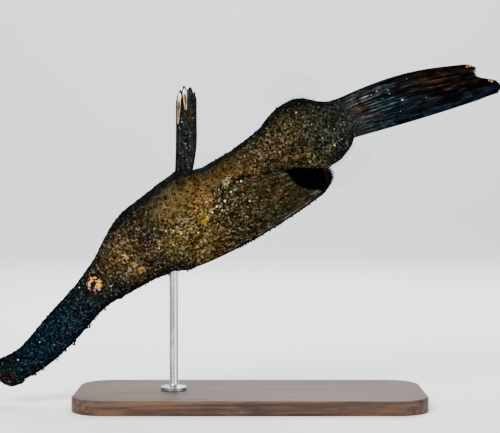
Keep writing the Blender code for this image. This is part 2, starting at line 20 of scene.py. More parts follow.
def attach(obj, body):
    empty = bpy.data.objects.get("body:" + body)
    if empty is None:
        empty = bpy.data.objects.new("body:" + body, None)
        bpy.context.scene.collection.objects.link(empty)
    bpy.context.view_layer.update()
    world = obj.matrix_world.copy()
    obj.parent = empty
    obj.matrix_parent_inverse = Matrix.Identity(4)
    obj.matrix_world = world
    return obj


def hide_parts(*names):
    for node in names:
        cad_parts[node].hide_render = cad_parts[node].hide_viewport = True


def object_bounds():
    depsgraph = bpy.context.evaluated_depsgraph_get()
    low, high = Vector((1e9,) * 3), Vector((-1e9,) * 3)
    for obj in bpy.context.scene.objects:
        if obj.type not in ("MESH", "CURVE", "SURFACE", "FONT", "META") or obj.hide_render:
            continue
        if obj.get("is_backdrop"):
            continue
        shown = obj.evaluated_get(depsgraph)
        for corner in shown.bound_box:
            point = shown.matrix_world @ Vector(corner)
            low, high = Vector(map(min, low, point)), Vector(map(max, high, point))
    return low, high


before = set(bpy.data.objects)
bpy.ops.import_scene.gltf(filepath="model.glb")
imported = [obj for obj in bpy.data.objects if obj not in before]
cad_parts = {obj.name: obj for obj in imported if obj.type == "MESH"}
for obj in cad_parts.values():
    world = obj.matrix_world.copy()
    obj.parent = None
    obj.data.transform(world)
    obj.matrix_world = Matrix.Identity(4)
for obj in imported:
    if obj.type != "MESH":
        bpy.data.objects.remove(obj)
solid_box = [list(corner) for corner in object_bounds()]
MM = 0.001
print("solids:", len(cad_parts), "size in mm:", [round((b - a) / MM, 1) for a, b in zip(*solid_box)])

# %% [markdown]
# ## The body's plan
#
# The axis is a line that bends only on the head. Along it, each section says how far the
# back rises, how deep the belly hangs, how wide the body is and how sharp its edges are.
# The numbers are the same as in the solids, so that whatever is made here lies on them.

# %% Sizes of the body
MOUTH_AT = (-72.0, 10.8)
BODY_SLOPE = 31.4
AXIS_SLOPES = (
    (0.0, -8.0),
    (5.0, 2.0),
    (9.0, 26.0),
    (14.0, 41.0),
    (20.0, 47.5),
    (40.0, 48.3),
    (47.0, 45.0),
    (54.0, 37.0),
    (61.0, BODY_SLOPE),
    (130.0, BODY_SLOPE),
)
BODY_END = 121.4
FISH_LENGTH = 162.0
SECTIONS = (  # distance from the mouth, height above the axis, depth below, half width, edge
    (0.0, 1.1, 1.3, 1.0, 0.50),
    (0.8, 1.9, 2.1, 1.7, 0.50),
    (2.2, 2.1, 3.2, 1.5, 0.50),
    (3.6, 2.6, 4.4, 1.7, 0.52),
    (6.0, 3.4, 5.6, 2.0, 0.55),
    (7.2, 3.6, 5.5, 2.1, 0.55),
    (8.8, 3.8, 4.5, 2.1, 0.55),
    (10.4, 3.9, 4.5, 2.1, 0.55),
    (16.8, 4.6, 5.0, 2.2, 0.55),
    (25.7, 4.9, 5.5, 2.4, 0.55),
    (33.4, 4.8, 5.4, 2.8, 0.55),
    (39.6, 5.2, 6.3, 3.5, 0.55),
    (44.0, 5.8, 7.5, 4.2, 0.55),
    (47.8, 7.1, 9.0, 4.8, 0.55),
    (52.0, 8.9, 9.7, 5.2, 0.56),
    (56.0, 10.3, 10.6, 5.5, 0.56),
    (60.5, 10.9, 11.6, 5.8, 0.57),
    (64.5, 11.3, 13.2, 5.9, 0.58),
    (69.5, 11.9, 12.2, 5.8, 0.60),
    (74.0, 12.0, 10.2, 5.4, 0.62),
    (76.5, 11.0, 9.0, 5.1, 0.62),
    (79.0, 9.9, 7.8, 4.8, 0.62),
    (82.0, 9.3, 6.8, 4.5, 0.62),
    (90.0, 9.2, 5.0, 3.9, 0.64),
    (96.0, 9.7, 3.8, 3.6, 0.66),
    (100.0, 10.3, 3.3, 3.5, 0.70),
    (104.0, 11.8, 4.8, 3.4, 0.80),
    (108.0, 12.6, 7.3, 3.2, 0.90),
    (111.0, 12.5, 8.8, 3.0, 0.95),
    (114.2, 11.4, 8.8, 2.6, 0.95),
    (117.2, 8.8, 8.0, 2.1, 0.85),
    (119.3, 7.2, 7.0, 1.7, 0.75),
    (121.4, 6.4, 5.4, 1.3, 0.65),
)
print("sections:", len(SECTIONS), "body in mm:", BODY_END)


# %% Curves through the named sizes
def smooth(at, knots):
    """Values on a curve through the knots that never overshoots them."""
    rows = np.array(knots, float)
    x, y = rows[:, 0], rows[:, 1:]
    step = np.diff(x)[:, None]
    rise = np.diff(y, axis=0) / step
    before, after = rise[:-1], rise[1:]
    same = before * after > 0
    total = np.where(same, before + after, 1.0)
    middle = np.where(same, 2 * before * after / total, 0.0)
    slope = np.vstack([rise[:1], middle, rise[-1:]])
    at = np.asarray(at, float)
    i = np.clip(np.searchsorted(x, at) - 1, 0, len(x) - 2)
    h = step[i, 0][..., None]
    t = np.clip((at - x[i])[..., None] / h, 0.0, 1.0)
    return (
        y[i] * (2 * t**3 - 3 * t**2 + 1)
        + slope[i] * h * (t**3 - 2 * t**2 + t)
        + y[i + 1] * (3 * t**2 - 2 * t**3)
        + slope[i + 1] * h * (t**3 - t**2)
    )


def axis_table(step=0.1):
    """Rows of distance, X, Z and slope in radians, walked along the axis."""
    x, z = MOUTH_AT
    rows = []
    for i in range(int(AXIS_SLOPES[-1][0] / step) + 1):
        slope = math.radians(smooth(i * step, AXIS_SLOPES)[0])
        rows.append((i * step, x, z, slope))
        x += step * math.cos(slope)
        z += step * math.sin(slope)
    return np.array(rows)


AXIS = axis_table()


def place(distance, height, side=0.0):
    """Points at distances along the axis, heights above it and offsets to the side."""
    distance, height, side = np.broadcast_arrays(
        *(np.asarray(value, float) for value in (distance, height, side))
    )
    x, z, slope = (np.interp(distance, AXIS[:, 0], AXIS[:, k]) for k in (1, 2, 3))
    return np.stack([x - height * np.sin(slope), side, z + height * np.cos(slope)], axis=-1)


def upright(distance, lean=0.0):
    """The direction away from the axis on the back's side, leaning to the head."""
    slope = np.interp(distance, AXIS[:, 0], AXIS[:, 3]) + np.radians(lean)
    return np.stack([-np.sin(slope), 0 * slope, np.cos(slope)], axis=-1)


def half_width_at(distance, height):
    """How far the body's side stands from the middle at that height."""
    up, down, width, edge = np.moveaxis(smooth(distance, SECTIONS), -1, 0)
    share = np.abs((height - (up - down) / 2) / ((up + down) / 2))
    return width * (1 - np.minimum(1.0, share) ** 2) ** edge


def fade(value, low, high):
    """0 at low, 1 at high and a soft step between them."""
    t = np.clip((np.asarray(value, float) - low) / (high - low), 0, 1)
    return t * t * (3 - 2 * t)


tail_root = place(BODY_END, 0.0)
print("tail fin's root in mm:", tail_root.round(1))


# %% A place on the flank
EYE_AT = (39.3, 1.0)  # distance from the mouth and height over the axis


def side_frame(distance, height, side):
    """Where the body's side is, as a matrix: X runs along it, Y outwards, Z up."""
    nudge = 0.4

    def surface(d, h):
        return Vector(place(d, h, side * half_width_at(d, h)))

    along = surface(distance + nudge, height) - surface(distance - nudge, height)
    up = surface(distance, height + nudge) - surface(distance, height - nudge)
    outward = up.cross(along).normalized()
    if outward.y * side < 0:
        outward.negate()
    along.normalize()
    up = along.cross(outward).normalized() * side
    made = Matrix((along, outward, up)).transposed().to_4x4()
    made.translation = surface(distance, height)
    return made


def sunk(at, depth, turn=0.0):
    """The frame moved inwards by a depth, and turned about its outward direction."""
    moved = at @ Matrix.Rotation(math.radians(turn), 4, "Y")
    moved.translation = at @ Vector((0, -depth, 0))
    return moved


def local(points, at):
    """Points as the frame sees them: along, outwards and up."""
    inverse = np.array(at.inverted())
    return points @ inverse[:3, :3].T + inverse[:3, 3]


print("eye's seat, outward direction:", [round(v, 2) for v in side_frame(*EYE_AT, -1).col[1][:3]])

# %% [markdown]
# ## A small language for finishes
#
# A finish on a real model is built in layers: a ground colour, then mottling, dots and a
# varnish. Nodes can do all of it, but a picture of a hundred nodes is hard to read, and
# so is a long list of links. Here a socket is wrapped in a class whose operators add the
# Math nodes, so that a layer is written as the sum that it is. The trees of Geometry
# Nodes further on are written with the same class.


# %% A socket that knows arithmetic
class Socket:
    """An output of a node. Arithmetic on it adds Math nodes."""

    def __init__(self, nodes, link):
        self.nodes = nodes
        self.link = link

    def math(self, operation, a, b=0.0):
        return self.nodes.add("ShaderNodeMath", {"operation": operation}, {0: a, 1: b})

    def __add__(self, other):
        return self.math("ADD", self, other)

    def __radd__(self, other):
        return self.math("ADD", other, self)

    def __sub__(self, other):
        return self.math("SUBTRACT", self, other)

    def __rsub__(self, other):
        return self.math("SUBTRACT", other, self)

    def __mul__(self, other):
        return self.math("MULTIPLY", self, other)

    def __rmul__(self, other):
        return self.math("MULTIPLY", other, self)

    def __truediv__(self, other):
        return self.math("DIVIDE", self, other)

    def __pow__(self, other):
        return self.math("POWER", self, other)

    def __abs__(self):
        return self.math("ABSOLUTE", self)


print(Socket.__doc__)


# %% Colours, and how a node is added
def tint(red, green, blue):
    """A colour as a shader reads it, from the 0 to 255 values seen on a screen."""
    shares = (value / 255 for value in (red, green, blue))
    return tuple(s / 12.92 if s <= 0.04045 else ((s + 0.055) / 1.055) ** 2.4 for s in shares)


class Nodes:
    """A tree of nodes, of a material or of geometry, and a short way of adding to it."""

    def __init__(self, tree):
        self.tree = tree

    def put(self, socket, value):
        if isinstance(value, Socket):
            self.tree.links.new(value.link, socket)
        elif socket.type == "RGBA" and len(value) == 3:
            socket.default_value = (*value, 1.0)
        else:
            socket.default_value = value

    def add(self, kind, settings=None, values=None, output=None):
        """Adds a node: its settings first, then what its sockets are or read."""
        node = self.tree.nodes.new(kind)
        for key, value in (settings or {}).items():
            if key == "stops":
                self.fill_ramp(node.color_ramp, value)
            else:
                setattr(node, key, value)
        for key, value in (values or {}).items():
            if isinstance(key, int):
                socket = node.inputs[key]
            else:
                socket = next(s for s in node.inputs if s.enabled and s.name == key)
            self.put(socket, value)
        shown = [s for s in node.outputs if s.enabled]
        return Socket(self, shown[0] if output is None else next(s for s in shown if s.name == output))

    def fill_ramp(self, ramp, stops):
        while len(ramp.elements) < len(stops):
            ramp.elements.new(1.0)
        for element, (at, colour) in zip(ramp.elements, stops):
            element.position = at
            element.color = (*colour, 1.0)


print("mid grey as a shader reads it:", [round(v, 3) for v in tint(128, 128, 128)])

# %% The nodes that a finish needs
NO_SHIFT = (0.0, 0.0, 0.0)


class Paint(Nodes):
    """A new material, with the few kinds of node that the finishes need."""

    def __init__(self, name):
        self.material = bpy.data.materials.new(name)
        self.material.use_nodes = True
        super().__init__(self.material.node_tree)
        self.shader = self.tree.nodes["Principled BSDF"]

    def ramp(self, value, stops):
        return self.add("ShaderNodeValToRGB", {"stops": stops}, {"Fac": value}, "Color")

    def mix(self, share, a, b):
        values = {"Factor": share, "A": a, "B": b}
        return self.add("ShaderNodeMix", {"data_type": "RGBA"}, values, "Result")

    def tinged(self, share, colour, factors):
        """The colour, moved by a share to its product with factors of red, green and blue."""
        return self.mix(share, colour, self.stretch(colour, factors))

    def vector(self, operation, a, b=NO_SHIFT, output="Vector"):
        return self.add("ShaderNodeVectorMath", {"operation": operation}, {0: a, 1: b}, output)

    def stretch(self, vector, by):
        return self.vector("MULTIPLY", vector, by)

    def length(self, vector):
        return self.vector("LENGTH", vector, output="Value")

    def shade(self, colour, factor):
        """The colour made darker or lighter by a factor."""
        return self.add("ShaderNodeVectorMath", {"operation": "SCALE"}, {0: colour, "Scale": factor})

    def millimetres(self):
        """Where a point is, in millimetres of the model's own frame."""
        at = self.add("ShaderNodeTexCoord", None, None, "Object")
        return self.shade(at, 1 / MM)

    def shown(self, at):
        """The place with its side offset left out, for marks that are set by X and Z."""
        return self.stretch(at, (1.0, 0.0, 1.0))

    def field(self, name, output="Vector"):
        return self.add("ShaderNodeAttribute", {"attribute_name": name}, None, output)

    def split(self, vector):
        node = self.add("ShaderNodeSeparateXYZ", None, {0: vector}).link.node
        return [Socket(self, link) for link in node.outputs]

    def join(self, x, y, z=0.0):
        return self.add("ShaderNodeCombineXYZ", None, {0: x, 1: y, 2: z})

    def noise(self, at, size, detail=2.0, roughness=0.5):
        """Cloudy values round a half, with patches of about that size."""
        values = {"Vector": at, "Scale": 1 / size, "Detail": detail, "Roughness": roughness}
        return self.add("ShaderNodeTexNoise", None, values)

    def cells(self, at, size, flat=False):
        """A pattern of cells: distance from the middle of each, and two numbers for it."""
        values = {"Vector": at, "Scale": 1 / size, "Randomness": 1.0}
        settings = {"voronoi_dimensions": "2D" if flat else "3D"}
        distance = self.add("ShaderNodeTexVoronoi", settings, values, "Distance")
        pick, tone, _ = self.split(Socket(self, distance.link.node.outputs["Color"]))
        return distance, pick, tone

    def dots(self, at, size, radius, chance=1.0):
        """Round dots: one in each flat cell of that size, in that share of the cells."""
        distance, pick, _ = self.cells(at, size, True)
        dot = self.fade(distance * size, radius, radius * 0.55)
        return dot if chance >= 1 else dot * self.fade(pick, chance + 0.02, chance - 0.02)

    def grains(self, at, size):
        """Close grains of that size: how bright each one is, and a number for its hue."""
        distance, pick, tone = self.cells(at, size)
        return (0.35 + self.fade(distance, 0.8, 0.2) * 0.9) * (0.08 + pick**2.0 * 2.2), tone

    def warped(self, at, size, reach):
        """The place pushed about by a noise of that size, so that round things turn uneven."""
        values = {"Vector": at, "Scale": 1 / size, "Detail": 1.0}
        push = self.add("ShaderNodeTexNoise", None, values, "Color")
        return self.vector("ADD", at, self.shade(push, reach))

    def specks(self, at, size, radius):
        """Dots that differ in strength from cell to cell, most of them weak."""
        distance, _, tone = self.cells(at, size, True)
        return self.fade(distance * size, radius, radius * 0.5) * tone**1.5

    def fade(self, value, low, high):
        """0 at low, 1 at high and a soft step between them."""
        values = {"Value": value, "From Min": low, "From Max": high}
        return self.add("ShaderNodeMapRange", {"interpolation_type": "SMOOTHSTEP"}, values)

    def band(self, value, low, inner_low, inner_high, high):
        """1 between the two inner values, with a soft step to 0 on either side."""
        return self.fade(value, low, inner_low) * self.fade(value, high, inner_high)

    def near(self, flat, spot, radius):
        """1 within a radius of a spot on the fish's side, fading to 0 at twice that."""
        reach = self.vector("DISTANCE", flat, (spot[0], 0.0, spot[1]), "Value")
        return self.fade(reach, 2 * radius, 0.6 * radius)

    def finish(self, links, bump=None, **constants):
        """Puts what varies and what is constant on the shader, and a bump on its normal."""
        for name, value in links.items():
            self.put(self.shader.inputs[name], value)
        for name, value in constants.items():
            self.put(self.shader.inputs[name.replace("_", " ")], value)
        if bump:
            height, depth = bump
            values = {"Height": height, "Distance": depth * MM, "Strength": 1.0}
            self.put(self.shader.inputs["Normal"], self.add("ShaderNodeBump", None, values))
        print("finish", self.material.name, "nodes:", len(self.tree.nodes))
        return self.material


print("a paint can add:", [name for name in vars(Paint) if not name.startswith("_")])

# %% [markdown]
# ## The fish's skin
#
# The skin of the living fish is a dark ground, golden on the flank and blue-black on the
# snout, broken by black pores, pale grains and a dark line along back and belly, which,
# with the flank's darkening towards it, is partly painted shade; pale highlights are
# painted along the pelvic fins' lower edge. One finish serves the body, the pelvic fins,
# the tail fin and the flaps, so that no seam shows where a fin begins. It reads fields
# that the pieces carry, and a field that a piece lacks is 0 there: `body` (distance from
# the mouth, height over the axis, nearness to an edge), `fin` (along a ray, across the
# rays, how much of a fin this is), `ray`, which is 1 on a fin's ray, and one more, which
# is 1 in the mouth and inside the pouch, where the skin is painted black as shade.

# %% Colours of the skin
FLANK_COLOURS = (  # distance from the mouth, colour
    (0, (9, 16, 21)),
    (7, (6, 18, 27)),
    (12, (6, 24, 37)),
    (25, (8, 28, 41)),
    (33, (15, 30, 35)),
    (37, (24, 30, 26)),
    (42, (48, 40, 28)),
    (46, (65, 52, 32)),
    (50, (88, 70, 41)),
    (53, (72, 58, 36)),
    (57, (50, 42, 28)),
    (60, (60, 50, 30)),
    (64, (82, 71, 40)),
    (70, (90, 79, 45)),
    (76, (92, 73, 38)),
    (82, (80, 63, 34)),
    (88, (75, 60, 33)),
    (94, (66, 55, 34)),
    (106, (63, 56, 36)),
    (112, (50, 48, 38)),
    (118, (38, 38, 35)),
    (124, (31, 31, 30)),
    (160, (10, 9, 8)),
)
# Colours of the dark line along back and belly, partly the skin's own and partly painted shade.
EDGE_DARK_AND_SHADE_COLOURS = (
    (0, (3, 9, 15)),
    (30, (2, 12, 21)),
    (45, (9, 14, 16)),
    (70, (14, 18, 16)),
    (100, (11, 17, 18)),
    (121, (10, 15, 18)),
    (160, (5, 5, 5)),
)
FIN_COLOURS = (
    (66, (68, 56, 31)),
    (76, (66, 54, 29)),
    (82, (53, 46, 28)),
    (88, (48, 42, 25)),
    (112, (50, 40, 20)),
    (121, (33, 33, 31)),
    (128, (31, 34, 36)),
    (136, (25, 36, 44)),
    (143, (13, 15, 16)),
    (150, (12, 9, 7)),
    (160, (7, 6, 5)),
)
OCHRE = tint(150, 100, 36)
YELLOW = tint(184, 148, 40)
GILT = tint(164, 152, 78)
OLIVE = tint(124, 112, 46)
LICHEN = tint(126, 128, 104)
UMBER = tint(44, 24, 10)
SOOT = tint(20, 14, 10)
RUST = tint(92, 38, 18)
MOSS = tint(34, 52, 36)
SLATE = tint(22, 36, 44)
SHADOW = tint(28, 33, 29)
DEPTH = tint(6, 14, 23)
CREAM = tint(226, 208, 160)
STRAW = tint(168, 138, 88)
AMBER = tint(190, 142, 82)
SILVER = tint(176, 190, 178)
PEACH = tint(206, 142, 84)
TAUPE = tint(104, 92, 80)
TEAL = tint(92, 124, 124)
PALE_BLUE = tint(126, 148, 150)
NEAR_BLACK = tint(3, 3, 4)
REDDER = (1.4, 0.82, 0.7)
GREENER = (0.72, 1.1, 0.95)
PALER = (1.0, 1.15, 1.8)
DEEPER = (1.0, 0.88, 0.45)
GREYER = (2.2, 1.15, 0.95)
BLUER = (0.5, 1.0, 1.35)
PATCHES = (  # X and Z in millimetres, radius, colour, strength
    ((-25.9, 49.3), 2.2, MOSS, 0.45),
    ((-26.9, 46.9), 1.3, SLATE, 0.45),
    ((-38.8, 42.4), 1.3, MOSS, 0.5),
    ((-30.0, 46.0), 2.0, UMBER, 0.25),
    ((-15.1, 55.0), 1.1, OCHRE, 0.3),
    ((-11.8, 56.6), 1.2, OCHRE, 0.35),
    ((-8.6, 58.3), 1.0, OCHRE, 0.25),
    ((-12.7, 51.6), 1.0, YELLOW, 0.7),
    ((-18.7, 61.1), 1.1, UMBER, 0.75),
    ((-35.3, 46.4), 0.5, RUST, 0.5),
    ((-66.6, 7.2), 1.8, UMBER, 0.5),
    ((30.5, 81.5), 1.8, UMBER, 0.5),
    ((50.6, 89.4), 1.9, UMBER, 0.4),
)
FLECKS = (  # as patches, but broken up and laid over the grain
    ((-33.7, 41.2), 0.7, AMBER, 0.7),
    ((-31.3, 38.8), 0.65, AMBER, 0.7),
    ((-29.3, 37.6), 0.75, AMBER, 0.7),
    ((-35.5, 42.4), 0.5, STRAW, 0.6),
    ((-24.4, 45.0), 0.45, AMBER, 0.5),
    ((-21.8, 44.9), 0.9, OLIVE, 0.5),
    ((-19.6, 46.0), 0.7, OLIVE, 0.4),
    ((-21.4, 42.4), 0.7, OLIVE, 0.45),
    ((-29.8, 35.4), 0.4, YELLOW, 0.25),
    ((-19.0, 48.3), 0.8, STRAW, 0.45),
    ((-10.9, 57.0), 0.5, AMBER, 0.6),
    ((-13.4, 55.8), 0.4, AMBER, 0.6),
    ((12.9, 68.3), 0.7, RUST, 0.5),
    ((14.3, 68.9), 0.5, RUST, 0.5),
    ((10.2, 67.6), 0.8, OLIVE, 0.35),
    ((15.9, 69.0), 0.45, GILT, 0.6),
    ((17.4, 68.2), 0.4, GILT, 0.55),
    ((16.4, 67.0), 0.35, GILT, 0.45),
    ((21.4, 70.4), 0.45, GILT, 0.45),
    ((23.0, 71.6), 0.4, STRAW, 0.5),
    ((8.9, 63.4), 0.4, TEAL, 0.35),
    ((-6.6, 61.5), 0.8, CREAM, 0.35),
    ((1.5, 64.5), 1.0, STRAW, 0.3),
)
STEM_FLECKS_FROM = 10.0  # the flecks behind this X keep off the fin beside them
BRIGHT_SPOTS = {  # X, Z and radius in millimetres
    SILVER: (
        (-63.7, 12.6, 0.13), (-57.7, 17.5, 0.1), (-46.8, 32.5, 0.12), (-37.9, 33.0, 0.12),
        (-20.8, 48.3, 0.13), (-7.5, 53.8, 0.14), (-0.1, 56.3, 0.16), (12.6, 80.4, 0.13),
        (41.7, 83.9, 0.15),
    ),
    CREAM: (
        (-24.7, 43.4, 0.11), (-22.8, 48.2, 0.14), (-20.8, 44.4, 0.13), (-18.6, 47.5, 0.16),
        (-14.0, 47.7, 0.13), (-10.2, 53.2, 0.16), (-9.0, 54.8, 0.17), (-6.8, 56.3, 0.2),
        (-5.2, 58.8, 0.15), (-2.4, 61.7, 0.17), (23.2, 71.4, 0.12),
    ),
    LICHEN: ((16.8, 77.1, 0.11), (19.7, 73.4, 0.14), (23.0, 75.9, 0.12)),
    PALE_BLUE: ((-53.9, 16.7, 0.1), (33.2, 85.2, 0.1), (34.7, 86.3, 0.12), (38.2, 85.6, 0.11)),
    TEAL: (
        (36.4, 84.2, 0.1), (37.7, 86.5, 0.11), (41.3, 80.8, 0.1), (43.0, 89.7, 0.1), (48.3, 84.6, 0.1),
    ),
    PEACH: (
        (59.7, 93.2, 0.18), (60.5, 93.4, 0.24), (61.3, 93.4, 0.2), (65.8, 89.3, 0.18), (66.6, 89.1, 0.24),
    ),
}
ROOT_GRAINS_AT = (((-6.0, 60.8), 2.0), ((-9.4, 57.0), 2.8), ((-12.7, 53.1), 2.4), ((-16.5, 49.3), 2.0))
BODY_GRAIN = 0.5
HEAD_GRAIN = 0.37
FIN_GRAIN = 0.42
print("patches:", len(PATCHES) + len(FLECKS), "bright spots:", sum(map(len, BRIGHT_SPOTS.values())))


# %% The regions of the skin
def skin_places(p):
    """The skin's fields, its noises and how far a place belongs to each of its regions."""
    s = SimpleNamespace(at=p.millimetres())
    s.shown = p.shown(s.at)
    s.distance, s.height, s.edge = p.split(p.field("body"))
    s.run, s.across, s.fin = p.split(p.field("fin"))
    s.lining = p.field("lining", "Fac")
    s.ray = p.field("ray", "Fac")
    s.broad = p.noise(s.at, 6.0, 3.0)
    s.patchy = p.noise(s.at, 2.0, 3.0)
    s.fine = p.noise(s.at, 0.6, 2.0, 0.7)
    s.body = 1 - s.fin
    s.head = p.fade(s.distance + (s.broad - 0.5) * 8, 44.0, 35.0) * s.body
    calm = p.fade(s.height + (s.broad - 0.5) * 9, 0.0, 4.0) * p.fade(s.distance, 58.0, 66.0)
    s.calm = calm * p.fade(s.distance, 98.0, 86.0) * s.body
    s.tail = p.fade(s.distance, 118.0, 126.0)
    s.stem = p.fade(s.distance, 102.0, 112.0) * (1 - s.tail)
    s.flank = (1 - s.head) * (1 - s.tail)
    s.rear = s.fin * p.fade(s.distance, 80.0, 96.0) * (1 - s.tail)
    s.lined = s.fin * p.fade(s.distance, 84.0, 104.0)
    streaks = p.join(s.run * 0.1, s.across * 1.8)
    s.streak = p.noise(streaks, 1.0, 3.0, 0.6)
    s.on_side = p.warped(p.join(s.distance, s.height), 0.9, 0.9)
    s.on_fin = p.warped(p.join(s.run, s.across), 0.9, 0.9)
    return s


# %% The skin's ground colour
def stops(colours):
    return [(distance / FISH_LENGTH, tint(*colour)) for distance, colour in colours]


def skin_ground(p, s):
    """The skin's colour before its grain: body, fins, patches and dark edges that are partly painted
    shade, and where those edges are.
    """
    along = s.distance / FISH_LENGTH
    ground = p.mix(s.fin, p.ramp(along, stops(FLANK_COLOURS)), p.ramp(along, stops(FIN_COLOURS)))
    hue = p.noise(s.at, 4.5, 3.0)
    ground = p.tinged(p.fade(hue, 0.5, 0.68) * 0.5, ground, GREENER)
    ground = p.tinged(p.fade(hue, 0.46, 0.32) * 0.4, ground, REDDER)
    cheek = p.fade(s.height + (s.broad - 0.5) * 6, 0.0, -4.5) * p.fade(s.distance, 56.0, 44.0)
    ground = p.mix(cheek * s.body * 0.6, ground, SLATE)
    nape = p.fade(s.height + (s.broad - 0.5) * 4, 3.5, 7.5) * p.band(s.distance, 48.0, 53.0, 64.0, 72.0)
    ground = p.mix(nape * 0.3, ground, SHADOW)
    upper_tail = p.fade(s.distance, 128.0, 142.0) * p.fade(s.height, -2.0, 3.0)
    ground = p.mix(upper_tail * 0.8, ground, SOOT)
    lower_tail = p.fade(s.distance, 122.0, 130.0) * p.fade(s.height, -1.0, -5.0)
    ground = p.mix(lower_tail * 0.8, ground, DEPTH)
    for spot, radius, colour, strength in PATCHES:
        share = p.near(s.shown, spot, radius) * strength * p.fade(s.patchy, 0.3, 0.5)
        ground = p.mix(share, ground, colour)
    under = p.band(s.distance, 84.0, 92.0, 110.0, 115.0) * p.fade(s.height, 1.0, -2.0) * s.body
    back = p.fade(s.height, 0.0, 3.0) * p.fade(s.distance, 48.0, 58.0)
    edge = s.edge + back * 0.08 + (s.patchy - 0.5) * 0.3
    # Painted shade: the flank darkens towards the back and the belly, where it turns from the light.
    flank_edge_shade = p.fade(edge, 0.3, 0.9) * s.body * (1 - under)
    ground = p.shade(ground, 1 - flank_edge_shade * 0.5)
    # The dark line along back and belly: partly the skin's own dark edge, partly painted shade.
    dark_edge_and_shade = p.fade(edge, 0.8, 0.96) * (1 - under)
    return p.mix(dark_edge_and_shade, ground, p.ramp(along, stops(EDGE_DARK_AND_SHADE_COLOURS))), dark_edge_and_shade


# %% The skin's grain and its light
def skin_grain(p, s):
    """How bright each grain of the skin is, and a number for its hue."""
    body_grain, body_tone = p.grains(p.warped(s.at, 0.8, 0.8), BODY_GRAIN)
    head_grain, _ = p.grains(p.warped(s.at, 0.6, 0.5), HEAD_GRAIN)
    body_grain = body_grain * (1 - s.head) + head_grain * s.head
    along_fin = p.join(s.run * (0.6 - s.tail * 0.45), s.across)
    fin_grain, fin_tone = p.grains(p.warped(along_fin, 0.8, 0.6), FIN_GRAIN)
    return body_grain * s.body + fin_grain * s.fin, body_tone * s.body + fin_tone * s.fin


def skin_light(p, s, grain):
    """What the grain, the ray lines and the clouds of the skin do to its brightness."""
    lines = 1 - s.lined + s.lined * (0.3 + p.fade(s.streak, 0.4, 0.68) * 1.4)
    smooth_parts = s.calm * 0.7 + s.rear * 0.5 + s.tail * 0.2 + s.stem * s.body * 0.35
    smooth_parts = smooth_parts + (1 - s.calm) * (1 - s.stem) * s.flank * s.body * 0.2
    light = (grain * (1 - smooth_parts) + smooth_parts * 0.73) * lines
    light = light * (0.6 + s.broad * 0.8) * (0.55 + p.fade(s.patchy, 0.3, 0.7) * 0.9)
    light = light * (1 + s.calm * (s.fine - 0.5) * 1.2)
    glow = 0.6 + p.band(s.distance, 121.0, 136.0, 136.0, 146.0) * 2.9
    light = light * (1 + s.tail * (0.4 + s.ray * glow))
    skirt = s.fin * p.fade(s.across, 11.0, 13.5) * p.band(s.distance, 80.0, 88.0, 98.0, 106.0)
    return light * (1 + skirt * 0.35)


# %% The skin's specks, pits and pores
def skin_marks(p, s, ground, dark_edge_and_shade, tone):
    """The specks, pits and pores over the grain, and how far each stands out."""
    dust = p.mix(p.fade(s.broad, 0.5, 0.65), p.mix(s.stem, STRAW, LICHEN), SILVER)
    dust = p.mix(s.head, dust, p.mix(p.fade(tone, 0.75, 0.85), TEAL, TAUPE))
    dust = p.mix(s.tail, dust, TEAL)
    rooted = 0.0
    for spot, radius in ROOT_GRAINS_AT:
        rooted = p.near(s.shown, spot, radius) + rooted
    quiet = (1 - s.calm * 0.8) * (1 - dark_edge_and_shade * 0.6) * (1 - s.rear * 0.6) * (1 - s.tail * 0.7)
    small = p.specks(s.on_side, 1.2, 0.26) * s.body + p.specks(s.on_fin, 1.2, 0.24) * s.fin
    small = small * (0.3 + rooted * 0.25) * quiet * p.fade(s.distance, 142.0, 134.0)
    ground = p.mix(small, ground, dust)
    large = p.specks(s.on_side, 2.4, 0.34) * s.body + p.specks(s.on_fin, 1.7, 0.3) * s.fin
    large = large * (0.2 + rooted * 0.45) * s.flank * quiet * p.fade(s.distance, 106.0, 94.0)
    ground = p.mix(large, ground, CREAM)
    pits = p.dots(s.on_side, 1.0, 0.38, 0.72) * s.body + p.dots(s.on_fin, 1.0, 0.34, 0.45) * s.fin
    pits = pits * 0.9 * (1 - s.calm * 0.4) * (1 - s.head * 0.3) * (1 - s.tail * 0.6)
    pores = p.dots(s.on_side, 1.95, 0.38) * s.calm
    ground = p.mix(pores, p.mix(pits, ground, NEAR_BLACK), NEAR_BLACK)
    return ground, small, large, pits + pores


